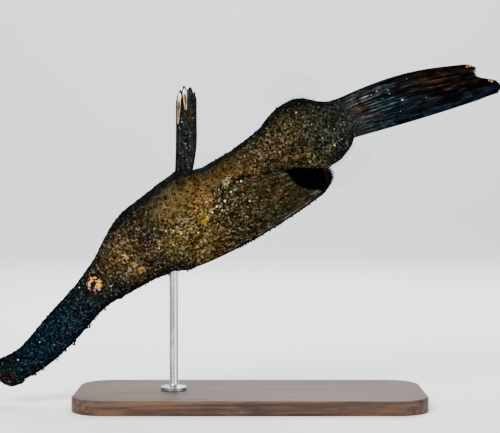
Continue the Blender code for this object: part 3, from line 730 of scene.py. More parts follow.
# %% The skin's finish
def skin_finish():
    p = Paint("fish_skin")
    s = skin_places(p)
    ground, dark_edge_and_shade = skin_ground(p, s)
    grain, tone = skin_grain(p, s)
    ground = p.tinged(p.fade(tone, 0.6, 1.0) * 0.6, ground, REDDER)
    ground = p.tinged(p.fade(tone, 0.4, 0.0) * 0.6, ground, GREENER)
    light = skin_light(p, s, grain)
    ground = p.shade(ground, light)
    dim = p.fade(light, 0.7, 0.2)
    ground = p.tinged(p.fade(light, 0.8, 2.2) * s.flank * (1 - s.stem * 0.7), ground, PALER)
    ground = p.tinged(dim * s.flank, ground, DEEPER)
    ground = p.tinged(p.fade(light, 0.6, 2.0) * s.head, ground, GREYER)
    ground = p.tinged(dim * s.head, ground, BLUER)
    # Painted highlights: pale blue streaks along the lower edge and the tip of the pelvic fins.
    hem = p.fade(s.across, 15.2, 15.8) * p.fade(s.run, 18.0, 26.0)
    hem = hem + p.fade(s.run, 31.6, 32.8) * p.fade(s.across, 13.0, 15.0)
    painted_rim_highlight = hem * s.fin * p.fade(s.distance, 118.0, 114.0) * p.fade(s.streak, 0.5, 0.6) * (1 - dark_edge_and_shade)
    ground = p.mix(painted_rim_highlight * 0.38, ground, PALE_BLUE)
    for spot, radius, colour, strength in FLECKS:
        share = p.near(s.shown, spot, radius) * strength * p.fade(s.fine, 0.42, 0.56)
        if spot[0] > STEM_FLECKS_FROM:
            share = share * s.body
        ground = p.mix(share, ground, p.shade(colour, 0.4 + grain * 0.6))
    ground, small, large, pitted = skin_marks(p, s, ground, dark_edge_and_shade, tone)
    for colour, spots in BRIGHT_SPOTS.items():
        for x, z, radius in spots:
            ground = p.mix(p.near(s.shown, (x, z), radius), ground, colour)
    # Painted shade: the inside of the mouth and of the pouch is painted black.
    ground = p.mix(s.lining, ground, NEAR_BLACK)
    high = grain * 0.3 + s.fine * 0.5 + s.patchy * 0.3 + (small + large) * 0.3 - pitted * 0.5
    return p.finish(
        {"Base Color": ground, "Roughness": 0.52 + s.fine * 0.22 - small * 0.12},
        (high + s.ray * s.lined * 0.4, 0.2),
        Specular_IOR_Level=0.01,
    )


skin = skin_finish()

# %% [markdown]
# ## Meshes and what they carry
#
# Most pieces of the fish are grids of points, so two helpers make them: one writes a
# mesh with its fields, and one turns a grid into a thin closed sheet. A sheet's two faces
# are split into the same triangles, or a strongly curved fin would cut through itself.


# %% Mesh helpers
def store(mesh, key, values):
    """Keeps a number or a vector for each point of the mesh."""
    values = np.asarray(values, np.float32)
    if values.ndim == 2:
        mesh.attributes.new(key, "FLOAT_VECTOR", "POINT").data.foreach_set("vector", values.ravel())
    else:
        mesh.attributes.new(key, "FLOAT", "POINT").data.foreach_set("value", values)


def new_object(name, data):
    """An object of the data, in the scene."""
    made = bpy.data.objects.new(name, data)
    bpy.context.scene.collection.objects.link(made)
    return made


def new_mesh(name, points, edges, faces, fields):
    """A mesh from points in millimetres, with fields stored on its points."""
    mesh = bpy.data.meshes.new(name)
    mesh.from_pydata((np.asarray(points, float) * MM).tolist(), edges, faces)
    for key, values in fields.items():
        store(mesh, key, values)
    return mesh


def new_piece(name, points, faces, finish, fields=None):
    """A smooth closed piece with one finish, its faces turned outwards."""
    mesh = new_mesh(name, points, [], faces, fields or {})
    shape = bmesh.new()
    shape.from_mesh(mesh)
    bmesh.ops.recalc_face_normals(shape, faces=shape.faces)
    shape.to_mesh(mesh)
    shape.free()
    mesh.shade_smooth()
    mesh.materials.append(finish)
    return new_object(name, mesh)


def grid_faces(rows, columns, closed):
    """Quads of a grid of points; closed joins its last column to its first."""
    wide = columns if closed else columns - 1
    r, c = np.meshgrid(np.arange(rows - 1), np.arange(wide), indexing="ij")
    k = (c + 1) % columns
    quads = np.stack([r * columns + c, r * columns + k, (r + 1) * columns + k, (r + 1) * columns + c], -1)
    return quads.reshape(-1, 4)


def sheet(name, middle, half, finish, fields, lined=0):
    """A closed thin sheet. lined is +1 or -1 for the face that is the pouch's inside, which the skin
    paints black as shade.
    """
    rows, columns = half.shape
    outward = np.cross(np.gradient(middle, axis=0), np.gradient(middle, axis=1))
    outward /= np.linalg.norm(outward, axis=2, keepdims=True)
    points = np.concatenate([middle + outward * half[..., None], middle - outward * half[..., None]])
    quads = grid_faces(rows, columns, False)
    one = np.concatenate([quads[:, [0, 1, 2]], quads[:, [0, 2, 3]]])
    total = rows * columns
    loop = np.concatenate(
        [
            np.arange(columns),
            np.arange(1, rows) * columns + columns - 1,
            (rows - 1) * columns + np.arange(columns - 2, -1, -1),
            np.arange(rows - 2, 0, -1) * columns,
        ]
    )
    after = np.roll(loop, -1)
    rim = [np.stack([loop, after, after + total], -1), np.stack([loop, after + total, loop + total], -1)]
    faces = np.concatenate([one, one + total, *rim]).tolist()
    both = {}
    for key, values in fields.items():
        flat = values.reshape(total, -1) if values.ndim == 3 else values.reshape(total)
        both[key] = np.concatenate([flat, flat])
    # The pouch's inside face is marked, and the skin paints it black as shade.
    if lined:
        both["lining"] = np.repeat([max(lined, 0.0), max(-lined, 0.0)], total)
    return new_piece(name, points.reshape(-1, 3), faces, finish, both)


def dress(piece, slot, *nodes):
    """The piece rides with the model and stands for its solids, which it hides. slot is not used."""
    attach(piece, "root")
    if nodes:
        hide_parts(*nodes)
    piece.data.calc_loop_triangles()
    size = [round(value / MM, 1) for value in piece.dimensions]
    print(piece.name, "triangles:", len(piece.data.loop_triangles), "mm:", size)


print("faces of a closed grid of 3 by 8 points:", len(grid_faces(3, 8, True)))

# %% [markdown]
# ## The body
#
# On the real fish the head, trunk and tail stem are one skin. It could be stitched from
# the solids, but a fresh grid of rings is cleaner: each ring is the section's formula,
# and the rings lie closest on the head. The eye sockets, nostrils, gill covers, the line
# of the mouth and the fine relief are then moves of its points along their normals.

# %% Sizes of the head
RING_POINTS = 200
TAIL_END = 2.8  # how far the stem runs on inside the tail fin
TAIL_END_RINGS = 9
RING_SPACING = ((0, 0.2), (3, 0.26), (31, 0.26), (36, 0.19), (56, 0.21), (62, 0.36), (121.4, 0.3))
LIPS = ((0.0, 0.88, 0.8), (0.12, 0.72, 0.5), (0.6, 0.55, 0.34), (1.8, 0.35, 0.25))
MOUTH_LINE = ((0.0, -0.1), (2.4, -0.5), (7.8, -3.2), (9.4, -6.8))
ORBIT_RADIUS = 2.75
ORBIT_RIM = 0.42
SOCKET_DEPTH = 2.3
SOCKET_WALL = (2.68, 2.2)
NOSTRILS_AT = ((34.3, 2.2), (33.0, 2.5))
NOSTRIL_RADIUS = 0.42
GILL_COVER_AT = (48.7, -1.6)
GILL_COVER_SIZE = (6.1, 1.5, 5.2)
GILL_COVER_SUNK = 0.85
GILL_COVER_TURN = -8.0
LUMPS = ((-34.7, 41.0, 0.9), (-31.4, 38.4, 0.8), (-29.3, 37.7, 1.0))  # X, Z and radius
FIRST_DORSAL_BASE = (73.9, 77.8)
print("gill cover in mm:", GILL_COVER_SIZE)


# %% Relief of the head
def bell(value, at, width):
    """A soft bump of height 1."""
    return np.exp(-(((value - at) / width) ** 2))


def line_distance(distance, height, line):
    """How far points on the flank are from a bent line there."""
    nearest = np.full(np.shape(distance), 99.0)
    for (a, b), (c, d) in zip(line, line[1:]):
        run = np.array([c - a, d - b])
        t = ((distance - a) * run[0] + (height - b) * run[1]) / (run @ run)
        t = np.clip(t, 0, 1)
        nearest = np.minimum(nearest, np.hypot(distance - a - t * run[0], height - b - t * run[1]))
    return nearest


def reach_from(points, at):
    """How far points are from the middle of a frame on the flank, measured along it."""
    seen = local(points, at)
    return np.hypot(seen[..., 0], seen[..., 2])


def head_relief(points, distance, height):
    """How far each point of the skin moves out, for the features of the head."""
    move = np.zeros(distance.shape)
    for side in (-1, 1):
        here = points[..., 1] * side > 0.3
        r = reach_from(points, side_frame(*EYE_AT, side))
        move += here * (ORBIT_RIM * bell(r, ORBIT_RADIUS, 0.4) - SOCKET_DEPTH * fade(r, *SOCKET_WALL))
        for spot in NOSTRILS_AT:
            r = reach_from(points, side_frame(*spot, side))
            move += here * (0.2 * bell(r, NOSTRIL_RADIUS, 0.14) - 0.5 * fade(r, 0.34, 0.1))
        seat = sunk(side_frame(*GILL_COVER_AT, side), GILL_COVER_SUNK, side * GILL_COVER_TURN)
        seen = local(points, seat)
        a, b, c = GILL_COVER_SIZE
        share = 1 - (seen[..., 0] / a) ** 2 - (seen[..., 2] / c) ** 2
        rise = np.where((share > 0) & here, b * np.sqrt(np.maximum(share, 0)) - seen[..., 1], -1.0)
        fan = np.arctan2(seen[..., 2], seen[..., 0] + 6.5)
        striae = 0.045 * np.cos(fan * 46) * fade(rise, 0.05, 0.4)
        behind = fade(seen[..., 0], -1.0, 2.5)
        move += np.maximum(rise, 0) + striae - 0.16 * bell(rise, -0.05, 0.14) * behind * (rise > -0.9)
    near_line = line_distance(distance, height, MOUTH_LINE)
    lips = 0.12 * bell(near_line, 0.42, 0.25) * fade(distance, 5.0, 2.0)
    throat = 0.65 * bell(distance, 41.2, 1.1) + 0.45 * bell(distance, 44.0, 1.8)
    move += throat * fade(height, -4.4, -6.6)
    move += lips - 0.3 * bell(near_line, 0.0, 0.17) * (distance > 0.05)
    for x, z, radius in LUMPS:
        away = np.hypot(points[..., 0] - x, points[..., 2] - z)
        move += 0.22 * bell(away, 0.0, radius * 0.6)
    return move


def roughness_of(points, edge):
    """Fine unevenness of the skin, strongest along the edges of back and belly."""
    flat = points.reshape(-1, 3)
    broad = np.array([noise.noise(p / 2.3) for p in map(Vector, flat)])
    fine = np.array([noise.noise(p / 0.8) for p in map(Vector, flat)])
    flat_edge = edge.reshape(-1)
    move = 0.05 * broad + 0.035 * fine + 0.13 * fine * fade(flat_edge, 0.86, 1.0)
    return move.reshape(edge.shape)


nostril_gap = float(line_distance(*NOSTRILS_AT[0], MOUTH_LINE))
print("from a nostril to the line of the mouth in mm:", round(nostril_gap, 1))


# %% Build the skin
def ring_distances():
    places = [0.0]
    while places[-1] < BODY_END:
        places.append(places[-1] + float(np.interp(places[-1], *np.array(RING_SPACING).T)))
    places[-1] = BODY_END
    return np.array(places)


def make_skin():
    distances = ring_distances()
    sections = smooth(distances, SECTIONS)
    ends, tail_ends = [], []
    up, down, width, edge = sections[0]
    for back, wide, high in LIPS[::-1]:
        ends.append((back, up * high, down * high, width * wide, edge))
    up, down, width, edge = sections[-1]
    for share in np.arange(1, TAIL_END_RINGS + 1) / TAIL_END_RINGS:
        slim = 1 - 0.1 * share
        thin = 1 - 0.88 * share**0.8
        tail_ends.append((BODY_END + TAIL_END * share, up * slim, down * slim, width * thin, edge))
    rows = np.vstack([ends, np.column_stack([distances, sections]), tail_ends])
    distance, up, down, width, edge = (rows[:, k][:, None] for k in range(5))
    turn = 2 * np.pi * np.arange(RING_POINTS)[None] / RING_POINTS
    middle, half = (up - down) / 2, (up + down) / 2
    height = middle + half * np.cos(turn)
    side = width * np.sign(np.sin(turn)) * np.abs(np.sin(turn)) ** (2 * edge)
    distance = np.broadcast_to(distance, height.shape)
    points = place(distance, height, side)
    near_edge = np.abs(np.cos(turn)) + 0 * height
    outward = np.cross(
        np.roll(points, -1, axis=1) - np.roll(points, 1, axis=1), np.gradient(points, axis=0)
    )
    outward /= np.maximum(np.linalg.norm(outward, axis=2, keepdims=True), 1e-9)
    centre = points.mean(axis=1, keepdims=True)
    outward *= np.sign((outward * (points - centre)).sum(axis=2).mean())
    on_body = np.zeros(height.shape)
    on_body[len(ends) : len(ends) + len(distances)] = 1.0
    move = head_relief(points, distance, height) + roughness_of(points, near_edge)
    fillet = fade(np.cos(turn), 0.86, 1.0) * bell(distance, np.mean(FIRST_DORSAL_BASE), 2.6)
    points = points + outward * (move * on_body)[..., None] + upright(distance) * (0.5 * fillet)[..., None]
    count = RING_POINTS
    faces = grid_faces(len(rows), count, True).tolist()
    faces += [list(range(count)), list(range((len(rows) - 1) * count, len(rows) * count))]
    # The rings inside the lips are marked, and the skin paints the mouth black as shade.
    inside = np.zeros(height.shape)
    inside[: len(ends) - 1] = 1.0
    fields = {
        "body": np.stack([distance, height, near_edge], -1).reshape(-1, 3),
        "lining": inside.reshape(-1),
    }
    return new_piece("fish_skin", points.reshape(-1, 3), faces, skin, fields)


SKIN_NODES = ("snout", "lower_jaw", "head", "gill_cover_left", "gill_cover_right", "trunk", "tail_stem")
dress(make_skin(), "skin", *SKIN_NODES)

# %% [markdown]
# ## The eyes
#
# The eye is a ball with a black pupil of uneven outline in a gold iris, which is paler
# to the front and below, and crossed by dark spots like the rest of the head. A separate
# glassy cornea would look well here, but a baked model loses it, so the ball is one
# piece: its middle stands a little proud, and a thin clear coat leaves a faint highlight.


# %% Finish of the eye
def eye_finish():
    p = Paint("eye")
    a, c, _ = p.split(p.field("iris"))
    spread = p.join(a, c)
    reach = p.length(spread)
    uneven = p.warped(spread, 0.8, 0.7)
    cloud = p.noise(spread, 0.9, 3.0)
    fine = p.noise(spread, 0.3, 2.0, 0.6)
    low = p.fade(a * -1.0 - c * 0.3 + (cloud - 0.5) * 2, -0.4, 1.2)
    gold = p.mix(p.fade(fine, 0.35, 0.65), tint(160, 84, 24), tint(250, 184, 92))
    pale = p.mix(p.fade(fine, 0.35, 0.65), tint(132, 78, 60), tint(240, 208, 186))
    iris = p.mix(low, gold, pale)
    islands = p.fade(p.noise(uneven, 1.0, 2.0, 0.6), 0.47, 0.52)
    iris = p.mix(islands, tint(52, 24, 12), iris)
    holes = p.dots(uneven, 0.95, 0.34) * p.fade(reach, 0.8, 1.2)
    iris = p.mix(holes, iris, NEAR_BLACK)
    iris = p.mix(p.fade(reach + (cloud - 0.5) * 1.2, 2.25, 2.5), iris, tint(22, 18, 12))
    pupil = p.fade(p.length(p.join(a * 0.8, c * 1.15)) + (cloud - 0.5) * 1.8, 1.0, 0.88)
    iris = p.mix(pupil, iris, tint(2, 1, 1))
    return p.finish(
        {"Base Color": iris, "Roughness": 0.4 + fine * 0.1},
        (fine * 0.6 - holes * 0.4, 0.05),
        Specular_IOR_Level=0.06,
        Coat_Weight=0.02,
        Coat_Roughness=0.08,
    )


# %% Build the eyes
EYE_SIZE = (2.4, 1.7, 2.4)
EYE_SUNK = 0.95
EYE_DOME = 0.1  # how far the middle stands proud
EYE_ROWS = 42
EYE_COLUMNS = 72


def make_eye(side, word, finish):
    at = sunk(side_frame(*EYE_AT, side), EYE_SUNK)
    tilt = np.linspace(0, np.pi, EYE_ROWS + 2)[1:-1, None]
    turn = np.linspace(0, 2 * np.pi, EYE_COLUMNS, endpoint=False)[None]
    a, b, c = EYE_SIZE
    reach = np.sin(tilt) + 0 * turn
    dome = EYE_DOME * fade(reach * a, 1.0, 0.8) * (np.cos(tilt) > 0)
    flat = np.stack([a * reach * np.cos(turn), b * np.cos(tilt) + dome, c * reach * np.sin(turn)], -1)
    flat = np.concatenate([flat.reshape(-1, 3), [[0, b + EYE_DOME, 0], [0, -b, 0]]])
    turned = np.array(at)
    points = flat @ turned[:3, :3].T + turned[:3, 3]
    faces = grid_faces(EYE_ROWS, EYE_COLUMNS, True).tolist()
    top, bottom, last = len(points) - 2, len(points) - 1, (EYE_ROWS - 1) * EYE_COLUMNS
    for i in range(EYE_COLUMNS):
        k = (i + 1) % EYE_COLUMNS
        faces += [[top, i, k], [bottom, last + i, last + k]]
    fields = {"iris": np.stack([flat[:, 0], flat[:, 2], flat[:, 1]], -1)}
    dress(new_piece("eye_" + word + "_ball", points, faces, finish, fields), "eye", "eye_" + word)


eye = eye_finish()
for side, word in ((-1, "left"), (1, "right")):
    make_eye(side, word, eye)

# %% [markdown]
# ## How a fin is made
#
# A fin is a web of skin on rays. The web is a sheet whose thickness swells on each ray,
# and a soft ray splits in two and again in two on its way out. Where the rays stand free
# of the web, as on the tail, each is also a round tapered rod. Rods that follow a path
# are what Geometry Nodes do best: the script draws bare lines, each point with its own
# radius, and the tree thickens them all at once.


# %% Rays and their branches
def branch_offsets(u, splits):
    """Where the branches of one ray lie, in shares of the space between two rays."""
    first = 0.25 * fade(u, 0.3, 0.9)
    second = 0.125 * fade(u, 0.6, 1.0)
    if splits == 0:
        return [0 * u]
    if splits == 1:
        return [first, -first]
    return [first + second, first - second, -first + second, -first - second]


def off_ray(v, rays):
    """How far a place is from the nearest ray, from -0.5 to 0.5 of the space between two."""
    phase = v * (rays - 1)
    return phase - np.round(phase)


def spread(v, rows):
    """Values on a curve through rows that lie evenly from 0 to 1."""
    knots = [(i / (len(rows) - 1), *row) for i, row in enumerate(rows)]
    return np.moveaxis(smooth(v, knots), -1, 0)


def between(pair, share):
    return pair[0] + share * (pair[1] - pair[0])


def on_ray(u, v, rays, splits, width):
    """1 on a ray or a branch of it, falling to 0 at that width beside it."""
    away = off_ray(v, rays)
    nearest = np.full(np.shape(away), 1.0)
    for shift in branch_offsets(u, splits):
        for turn in (-1, 0, 1):
            nearest = np.minimum(nearest, np.abs(away - shift - turn))
    return np.clip(1 - nearest / width, 0, 1) ** 0.8


def fin_grid(rows, columns):
    return np.meshgrid(np.linspace(0, 1, rows), np.linspace(0, 1, columns), indexing="ij")


print("branches of a ray at its tip:", [round(float(v), 3) for v in branch_offsets(1.0, 2)])


# %% The tree that thickens lines
class Tree(Nodes):
    """A new Geometry Nodes tree with named inputs."""

    def __init__(self, name, output, inputs):
        super().__init__(bpy.data.node_groups.new(name, "GeometryNodeTree"))
        sockets = self.tree.interface
        for key, kind in inputs.items():
            sockets.new_socket(key, in_out="INPUT", socket_type="NodeSocket" + kind)
        sockets.new_socket(output, in_out="OUTPUT", socket_type="NodeSocketGeometry")
        given = self.tree.nodes.new("NodeGroupInput").outputs
        self.given = {key: Socket(self, given[key]) for key in inputs}

    def named(self, name, kind):
        return self.add("GeometryNodeInputNamedAttribute", {"data_type": kind}, {"Name": name})

    def close(self, shape):
        """Makes the shape real, smooth and painted, and hands it out."""
        shape = self.add("GeometryNodeRealizeInstances", None, {"Geometry": shape})
        shape = self.add("GeometryNodeSetShadeSmooth", None, {"Geometry": shape})
        values = {"Geometry": shape, "Material": self.given["Finish"]}
        shape = self.add("GeometryNodeSetMaterial", None, values)
        self.put(self.tree.nodes.new("NodeGroupOutput").inputs[0], shape)
        return self.tree


def tapered_rods_tree():
    inputs = {"Lines": "Geometry", "Sides": "Int", "Thickness": "Float", "Finish": "Material"}
    t = Tree("tapered_rods", "Rods", inputs)
    curve = t.add("GeometryNodeMeshToCurve", None, {"Mesh": t.given["Lines"]})
    values = {"Resolution": t.given["Sides"], "Radius": MM}
    ring = t.add("GeometryNodeCurvePrimitiveCircle", None, values)
    thick = t.named("thick", "FLOAT") * t.given["Thickness"]
    values = {"Curve": curve, "Profile Curve": ring, "Scale": thick, "Fill Caps": True}
    return t.close(t.add("GeometryNodeCurveToMesh", None, values))


def run_tree(guide, tree, settings):
    """Runs the tree on a guide and keeps what it makes as the guide's plain mesh."""
    step = guide.modifiers.new("tree", "NODES")
    step.node_group = tree
    for item in tree.interface.items_tree:
        if item.item_type == "SOCKET" and item.in_out == "INPUT" and item.name in settings:
            step[item.identifier] = settings[item.name]
    bpy.context.view_layer.update()
    graph = bpy.context.evaluated_depsgraph_get()
    made = bpy.data.meshes.new_from_object(guide.evaluated_get(graph))
    guide.modifiers.remove(step)
    old = guide.data
    guide.data = made
    made.name = guide.name
    bpy.data.meshes.remove(old)
    return guide


RODS = tapered_rods_tree()
print("tree inputs:", list(RODS.interface.items_tree.keys()))


# %% Lines for the tree
def make_rods(name, lines, finish, sides=6, thickness=1.0):
    """Rods along lines. A line is its points, its radii and its fields."""
    edges, start = [], 0
    for points, _, _ in lines:
        edges += [(start + i, start + i + 1) for i in range(len(points) - 1)]
        start += len(points)
    points, thick = (np.concatenate([line[k] for line in lines]) for k in (0, 1))
    fields = {key: np.concatenate([line[2][key] for line in lines]) for key in lines[0][2]}
    guide = new_object(name, new_mesh(name, points, edges, [], {"thick": thick} | fields))
    return run_tree(guide, RODS, {"Sides": sides, "Thickness": thickness, "Finish": finish})


def ray_lines(spot, fields, rays, splits, radii, steps=40, end=0.99):
    """The lines of a fin's rays: each branch starts where it leaves its parent."""
    starts = {0: (0.0,), 1: (0.0, 0.3), 2: (0.0, 0.6, 0.3, 0.6)}[splits]
    lines = []
    for ray in range(rays):
        for k, begin in enumerate(starts):
            u = np.linspace(begin, end, max(6, int(steps * (end - begin))))
            v = np.clip((ray + branch_offsets(u, splits)[k]) / (rays - 1), 0, 1)
            thick = between(radii, u**0.7)
            lines.append((spot(u, v), thick, fields(u, v)))
    return lines


print("rods come from the tree:", RODS.name)

# %% [markdown]
# ## The pelvic fins
#
# These two fins are the largest parts after the trunk. They grow from the belly, lie
# along it at the top and meet below, and between them is the pouch where the female
# carries her eggs. Each has seven rays that branch twice. A cloth simulation could shape
# them, but a formula for root, tip and bulge keeps them exactly where the solids are.

# %% Sizes of the pelvic fins
SINK = 0.9
PELVIC_RAYS = 7
PELVIC_ROWS = 96
PELVIC_COLUMNS = (PELVIC_RAYS - 1) * 4 * 6 + 1
PELVIC_SIZE = (34.0, 17.0)  # along a ray and across the rays, as the finish reads them
PELVIC_BASE = ((73.5, 0.2), (65.0, -13.0))
PELVIC_TIPS = {
    -1: (
        (99.3, -2.4, 6.9),
        (100.6, -4.7, 8.2),
        (100.7, -6.8, 8.7),
        (101.7, -9.1, 8.2),
        (103.0, -10.8, 6.7),
        (105.2, -12.4, 4.4),
        (107.0, -14.1, 1.9),
    ),
    1: (
        (110.2, -4.2, 3.4),
        (111.2, -6.6, 4.3),
        (111.9, -8.8, 5.0),
        (112.0, -10.7, 5.1),
        (111.0, -12.3, 4.5),
        (108.6, -13.6, 3.1),
        (105.6, -14.5, 1.4),
    ),
}
PELVIC_CUP = 2.8
PELVIC_CLEAR = 0.9
PELVIC_ARCH = {-1: 3.1, 1: 1.0}
PELVIC_ARCH_SKEW = 0.85
PELVIC_NOTCH = {-1: 0.3, 1: 1.3}
# Where along a ray the painted shade at each pelvic fin's tip begins.
PELVIC_TIP_SHADE_FROM = {-1: 0.985, 1: 0.92}
print("pelvic fin rays:", PELVIC_RAYS)


# %% Build the pelvic fins
def pelvic_place(side, u, v):
    """Distance, height and side of the fin's middle surface."""
    root_at, root_height = (between(pair, v) for pair in zip(*PELVIC_BASE))
    root_side = np.maximum(0.7, half_width_at(root_at, root_height) - SINK)
    tip_at, tip_height, tip_side = spread(v, PELVIC_TIPS[side])
    arch = PELVIC_ARCH[side] * np.sin(np.pi * u**PELVIC_ARCH_SKEW) * (1 - v) ** 2
    sag = 0.9 * np.sin(np.pi * u) * v + 0.6 * np.sin(np.pi * u**0.6) * v**2
    bulge = PELVIC_CUP * np.sin(np.pi * u) * np.sin(np.pi * (0.08 + 0.86 * v))
    rays = on_ray(u, v, PELVIC_RAYS, 2, 0.13)
    notch = PELVIC_NOTCH[side] * (1 - rays) * fade(u, 0.8, 1.0)
    distance = root_at + (tip_at - notch - root_at) * u
    height = root_height + (tip_height - root_height) * u + arch - sag
    cupped = root_side + (tip_side - root_side) * u**1.3 + bulge
    hugging = half_width_at(distance, height) + PELVIC_CLEAR * fade(u, 0.12, 0.5)
    share = (1 - v) ** 2 * (1 - u**4) * np.minimum(1.0, 12 * u)
    return distance, height, side * (cupped + (hugging - cupped) * share)


def make_pelvic(side, word):
    u, v = fin_grid(PELVIC_ROWS, PELVIC_COLUMNS)
    distance, height, out = pelvic_place(side, u, v)
    rays = on_ray(u, v, PELVIC_RAYS, 2, 0.11)
    wave = 0.14 * np.sin(2 * np.pi * 9 * v + 5 * u) * fade(u, 0.55, 1.0)
    middle = place(distance, height, out + side * wave)
    half = 0.15 + 0.06 * rays + 0.3 * fade(u, 0.22, 0.0)
    half *= 1 - 0.55 * fade(u, 0.82, 1.0)
    # edge feeds the skin's dark edge: painted shade along the fin's lower edge and its tip, and a painted
    # shadow line along the upper margin, where the fin lies on the body.
    edge = 1.1 * np.maximum(fade(v, 0.925, 0.985), fade(u, PELVIC_TIP_SHADE_FROM[side], 1.0))
    edge = np.maximum(edge, 1.1 * fade(v, 0.07, 0.03) * fade(u, 0.4, 0.6))
    share = fade(u, 0.02, 0.3)
    fields = {
        "body": np.stack([distance, height, edge], -1),
        "fin": np.stack([u * PELVIC_SIZE[0], v * PELVIC_SIZE[1], share], -1),
        "ray": rays,
    }
    piece = sheet("pelvic_fin_" + word + "_web", middle, half, skin, fields, lined=-side)
    dress(piece, "fin_skin", "pelvic_fin_" + word)


for side, word in ((-1, "left"), (1, "right")):
    make_pelvic(side, word)

# %% [markdown]
# ## The tail fin
#
# The tail fin is nearly as long as the trunk and held half shut, so that it falls into
# folds along its sixteen rays. The web is pleated by the same rule as the solid, and the
# rays lie on it as rods that split once.

# %% Sizes of the tail fin
TAIL_RAYS = 16
TAIL_TIPS = (
    (60.5, 93.7),
    (62.2, 92.8),
    (62.4, 90.8),
    (65.2, 89.8),
    (67.9, 89.3),
    (69.3, 87.8),
    (68.5, 85.9),
)
TAIL_ARCH = (2.3, -0.4)
TAIL_PLEAT = 0.25
TAIL_FOLD = 0.6
TAIL_FOLDS = 3.2
TAIL_SWAY = 1.6
TAIL_NOTCH = 1.3
TAIL_ROWS = 110
TAIL_COLUMNS = (TAIL_RAYS - 1) * 8 + 1
TAIL_TIP_REACH = 40.0  # distance from the tail's root to its tips
print("tail rays:", TAIL_RAYS)


# %% Build the tail fin
def tail_spot(u, v):
    up, down = smooth(BODY_END, SECTIONS)[:2]
    root = place(BODY_END - SINK, 0.94 * (up - v * (up + down)))
    tip_x, tip_z = spread(v, TAIL_TIPS)
    ridge = 1 - 2 * np.abs(off_ray(v, TAIL_RAYS))
    rays = on_ray(u, v, TAIL_RAYS, 1, 0.3)
    tip_x = tip_x - TAIL_NOTCH * (1 - rays) * fade(u, 0.85, 1.0)
    arch = between(TAIL_ARCH, v) * np.sin(np.pi * u)
    opened = np.minimum(1.0, 2.5 * u)
    pleat = TAIL_PLEAT * (2 * ridge - 1) * opened
    fold = TAIL_FOLD * np.sin(2 * np.pi * TAIL_FOLDS * v) * opened
    x = between((root[..., 0], tip_x), u)
    z = between((root[..., 2], tip_z), u) + arch
    return np.stack([x, TAIL_SWAY * u**2 + pleat + fold, z], -1)


def tail_fields(u, v):
    distance = BODY_END + TAIL_TIP_REACH * u
    edge = np.maximum(fade(v, 0.06, 0.0), fade(v, 0.94, 1.0)) * 0.9
    return {
        "body": np.stack([distance, 6 - 12 * v, edge], -1),
        "fin": np.stack([u * TAIL_TIP_REACH, v * 12.0, fade(u, 0.0, 0.15)], -1),
    }


def tail_ray_fields(u, v):
    return tail_fields(u, v) | {"ray": np.ones(np.shape(u))}


def make_tail():
    u, v = fin_grid(TAIL_ROWS, TAIL_COLUMNS)
    rays = on_ray(u, v, TAIL_RAYS, 1, 0.3)
    half = 0.11 + 0.1 * rays + 0.45 * fade(u, 0.14, 0.0)
    half *= 1 - 0.5 * fade(u, 0.85, 1.0)
    fields = tail_fields(u, v) | {"ray": rays}
    web = sheet("tail_fin_web", tail_spot(u, v), half, skin, fields)
    lines = ray_lines(tail_spot, tail_ray_fields, TAIL_RAYS, 1, (0.34, 0.13), 60)
    rods = make_rods("tail_fin_rays", lines, skin)
    dress(web, "fin_skin", "tail_fin")
    dress(rods, "fin_skin")


make_tail()

# %% [markdown]
# ## The first dorsal fin
#
# This fin is a narrow flag of five soft spines behind the head, held shut. Its upper
# part is pale along two spines, and the rest is blue-black with light grains. It has a
# finish of its own, because its stripes follow its spines and not the body.

# %% Sizes and finish of the first dorsal fin
FIRST_DORSAL_SPINES = (  # each spine's height over the back and the X of its tip
    (21.4, -20.1),
    (22.2, -19.2),
    (23.3, -18.1),
    (22.8, -16.3),
    (21.6, -14.8),
)
FIRST_DORSAL_NOTCH = 1.2
FIRST_DORSAL_FOLD = 0.14
FIRST_DORSAL_SPREAD = 2.2
FIRST_DORSAL_RADII = (0.36, 0.2)
PALE_STRIPES = (  # X and Z of the top, X and Z of the foot, half width
    ((-19.2, 86.1), (-19.75, 77.4), 0.48),
    ((-17.95, 87.0), (-17.6, 81.2), 0.6),
)
DORSAL_SPOTS = (  # X and Z, radius, colour
    ((-18.7, 77.9), 0.15, tint(128, 152, 150)),
    ((-17.7, 71.9), 0.15, tint(98, 124, 138)),
    ((-16.4, 71.2), 0.12, tint(106, 132, 142)),
    ((-19.4, 76.4), 0.1, tint(98, 124, 138)),
    ((-19.1, 69.3), 0.14, tint(66, 92, 116)),
    ((-17.5, 74.8), 0.09, tint(112, 90, 88)),
    ((-15.5, 79.0), 0.12, tint(78, 74, 92)),
    ((-16.2, 74.9), 0.12, tint(86, 80, 94)),
)


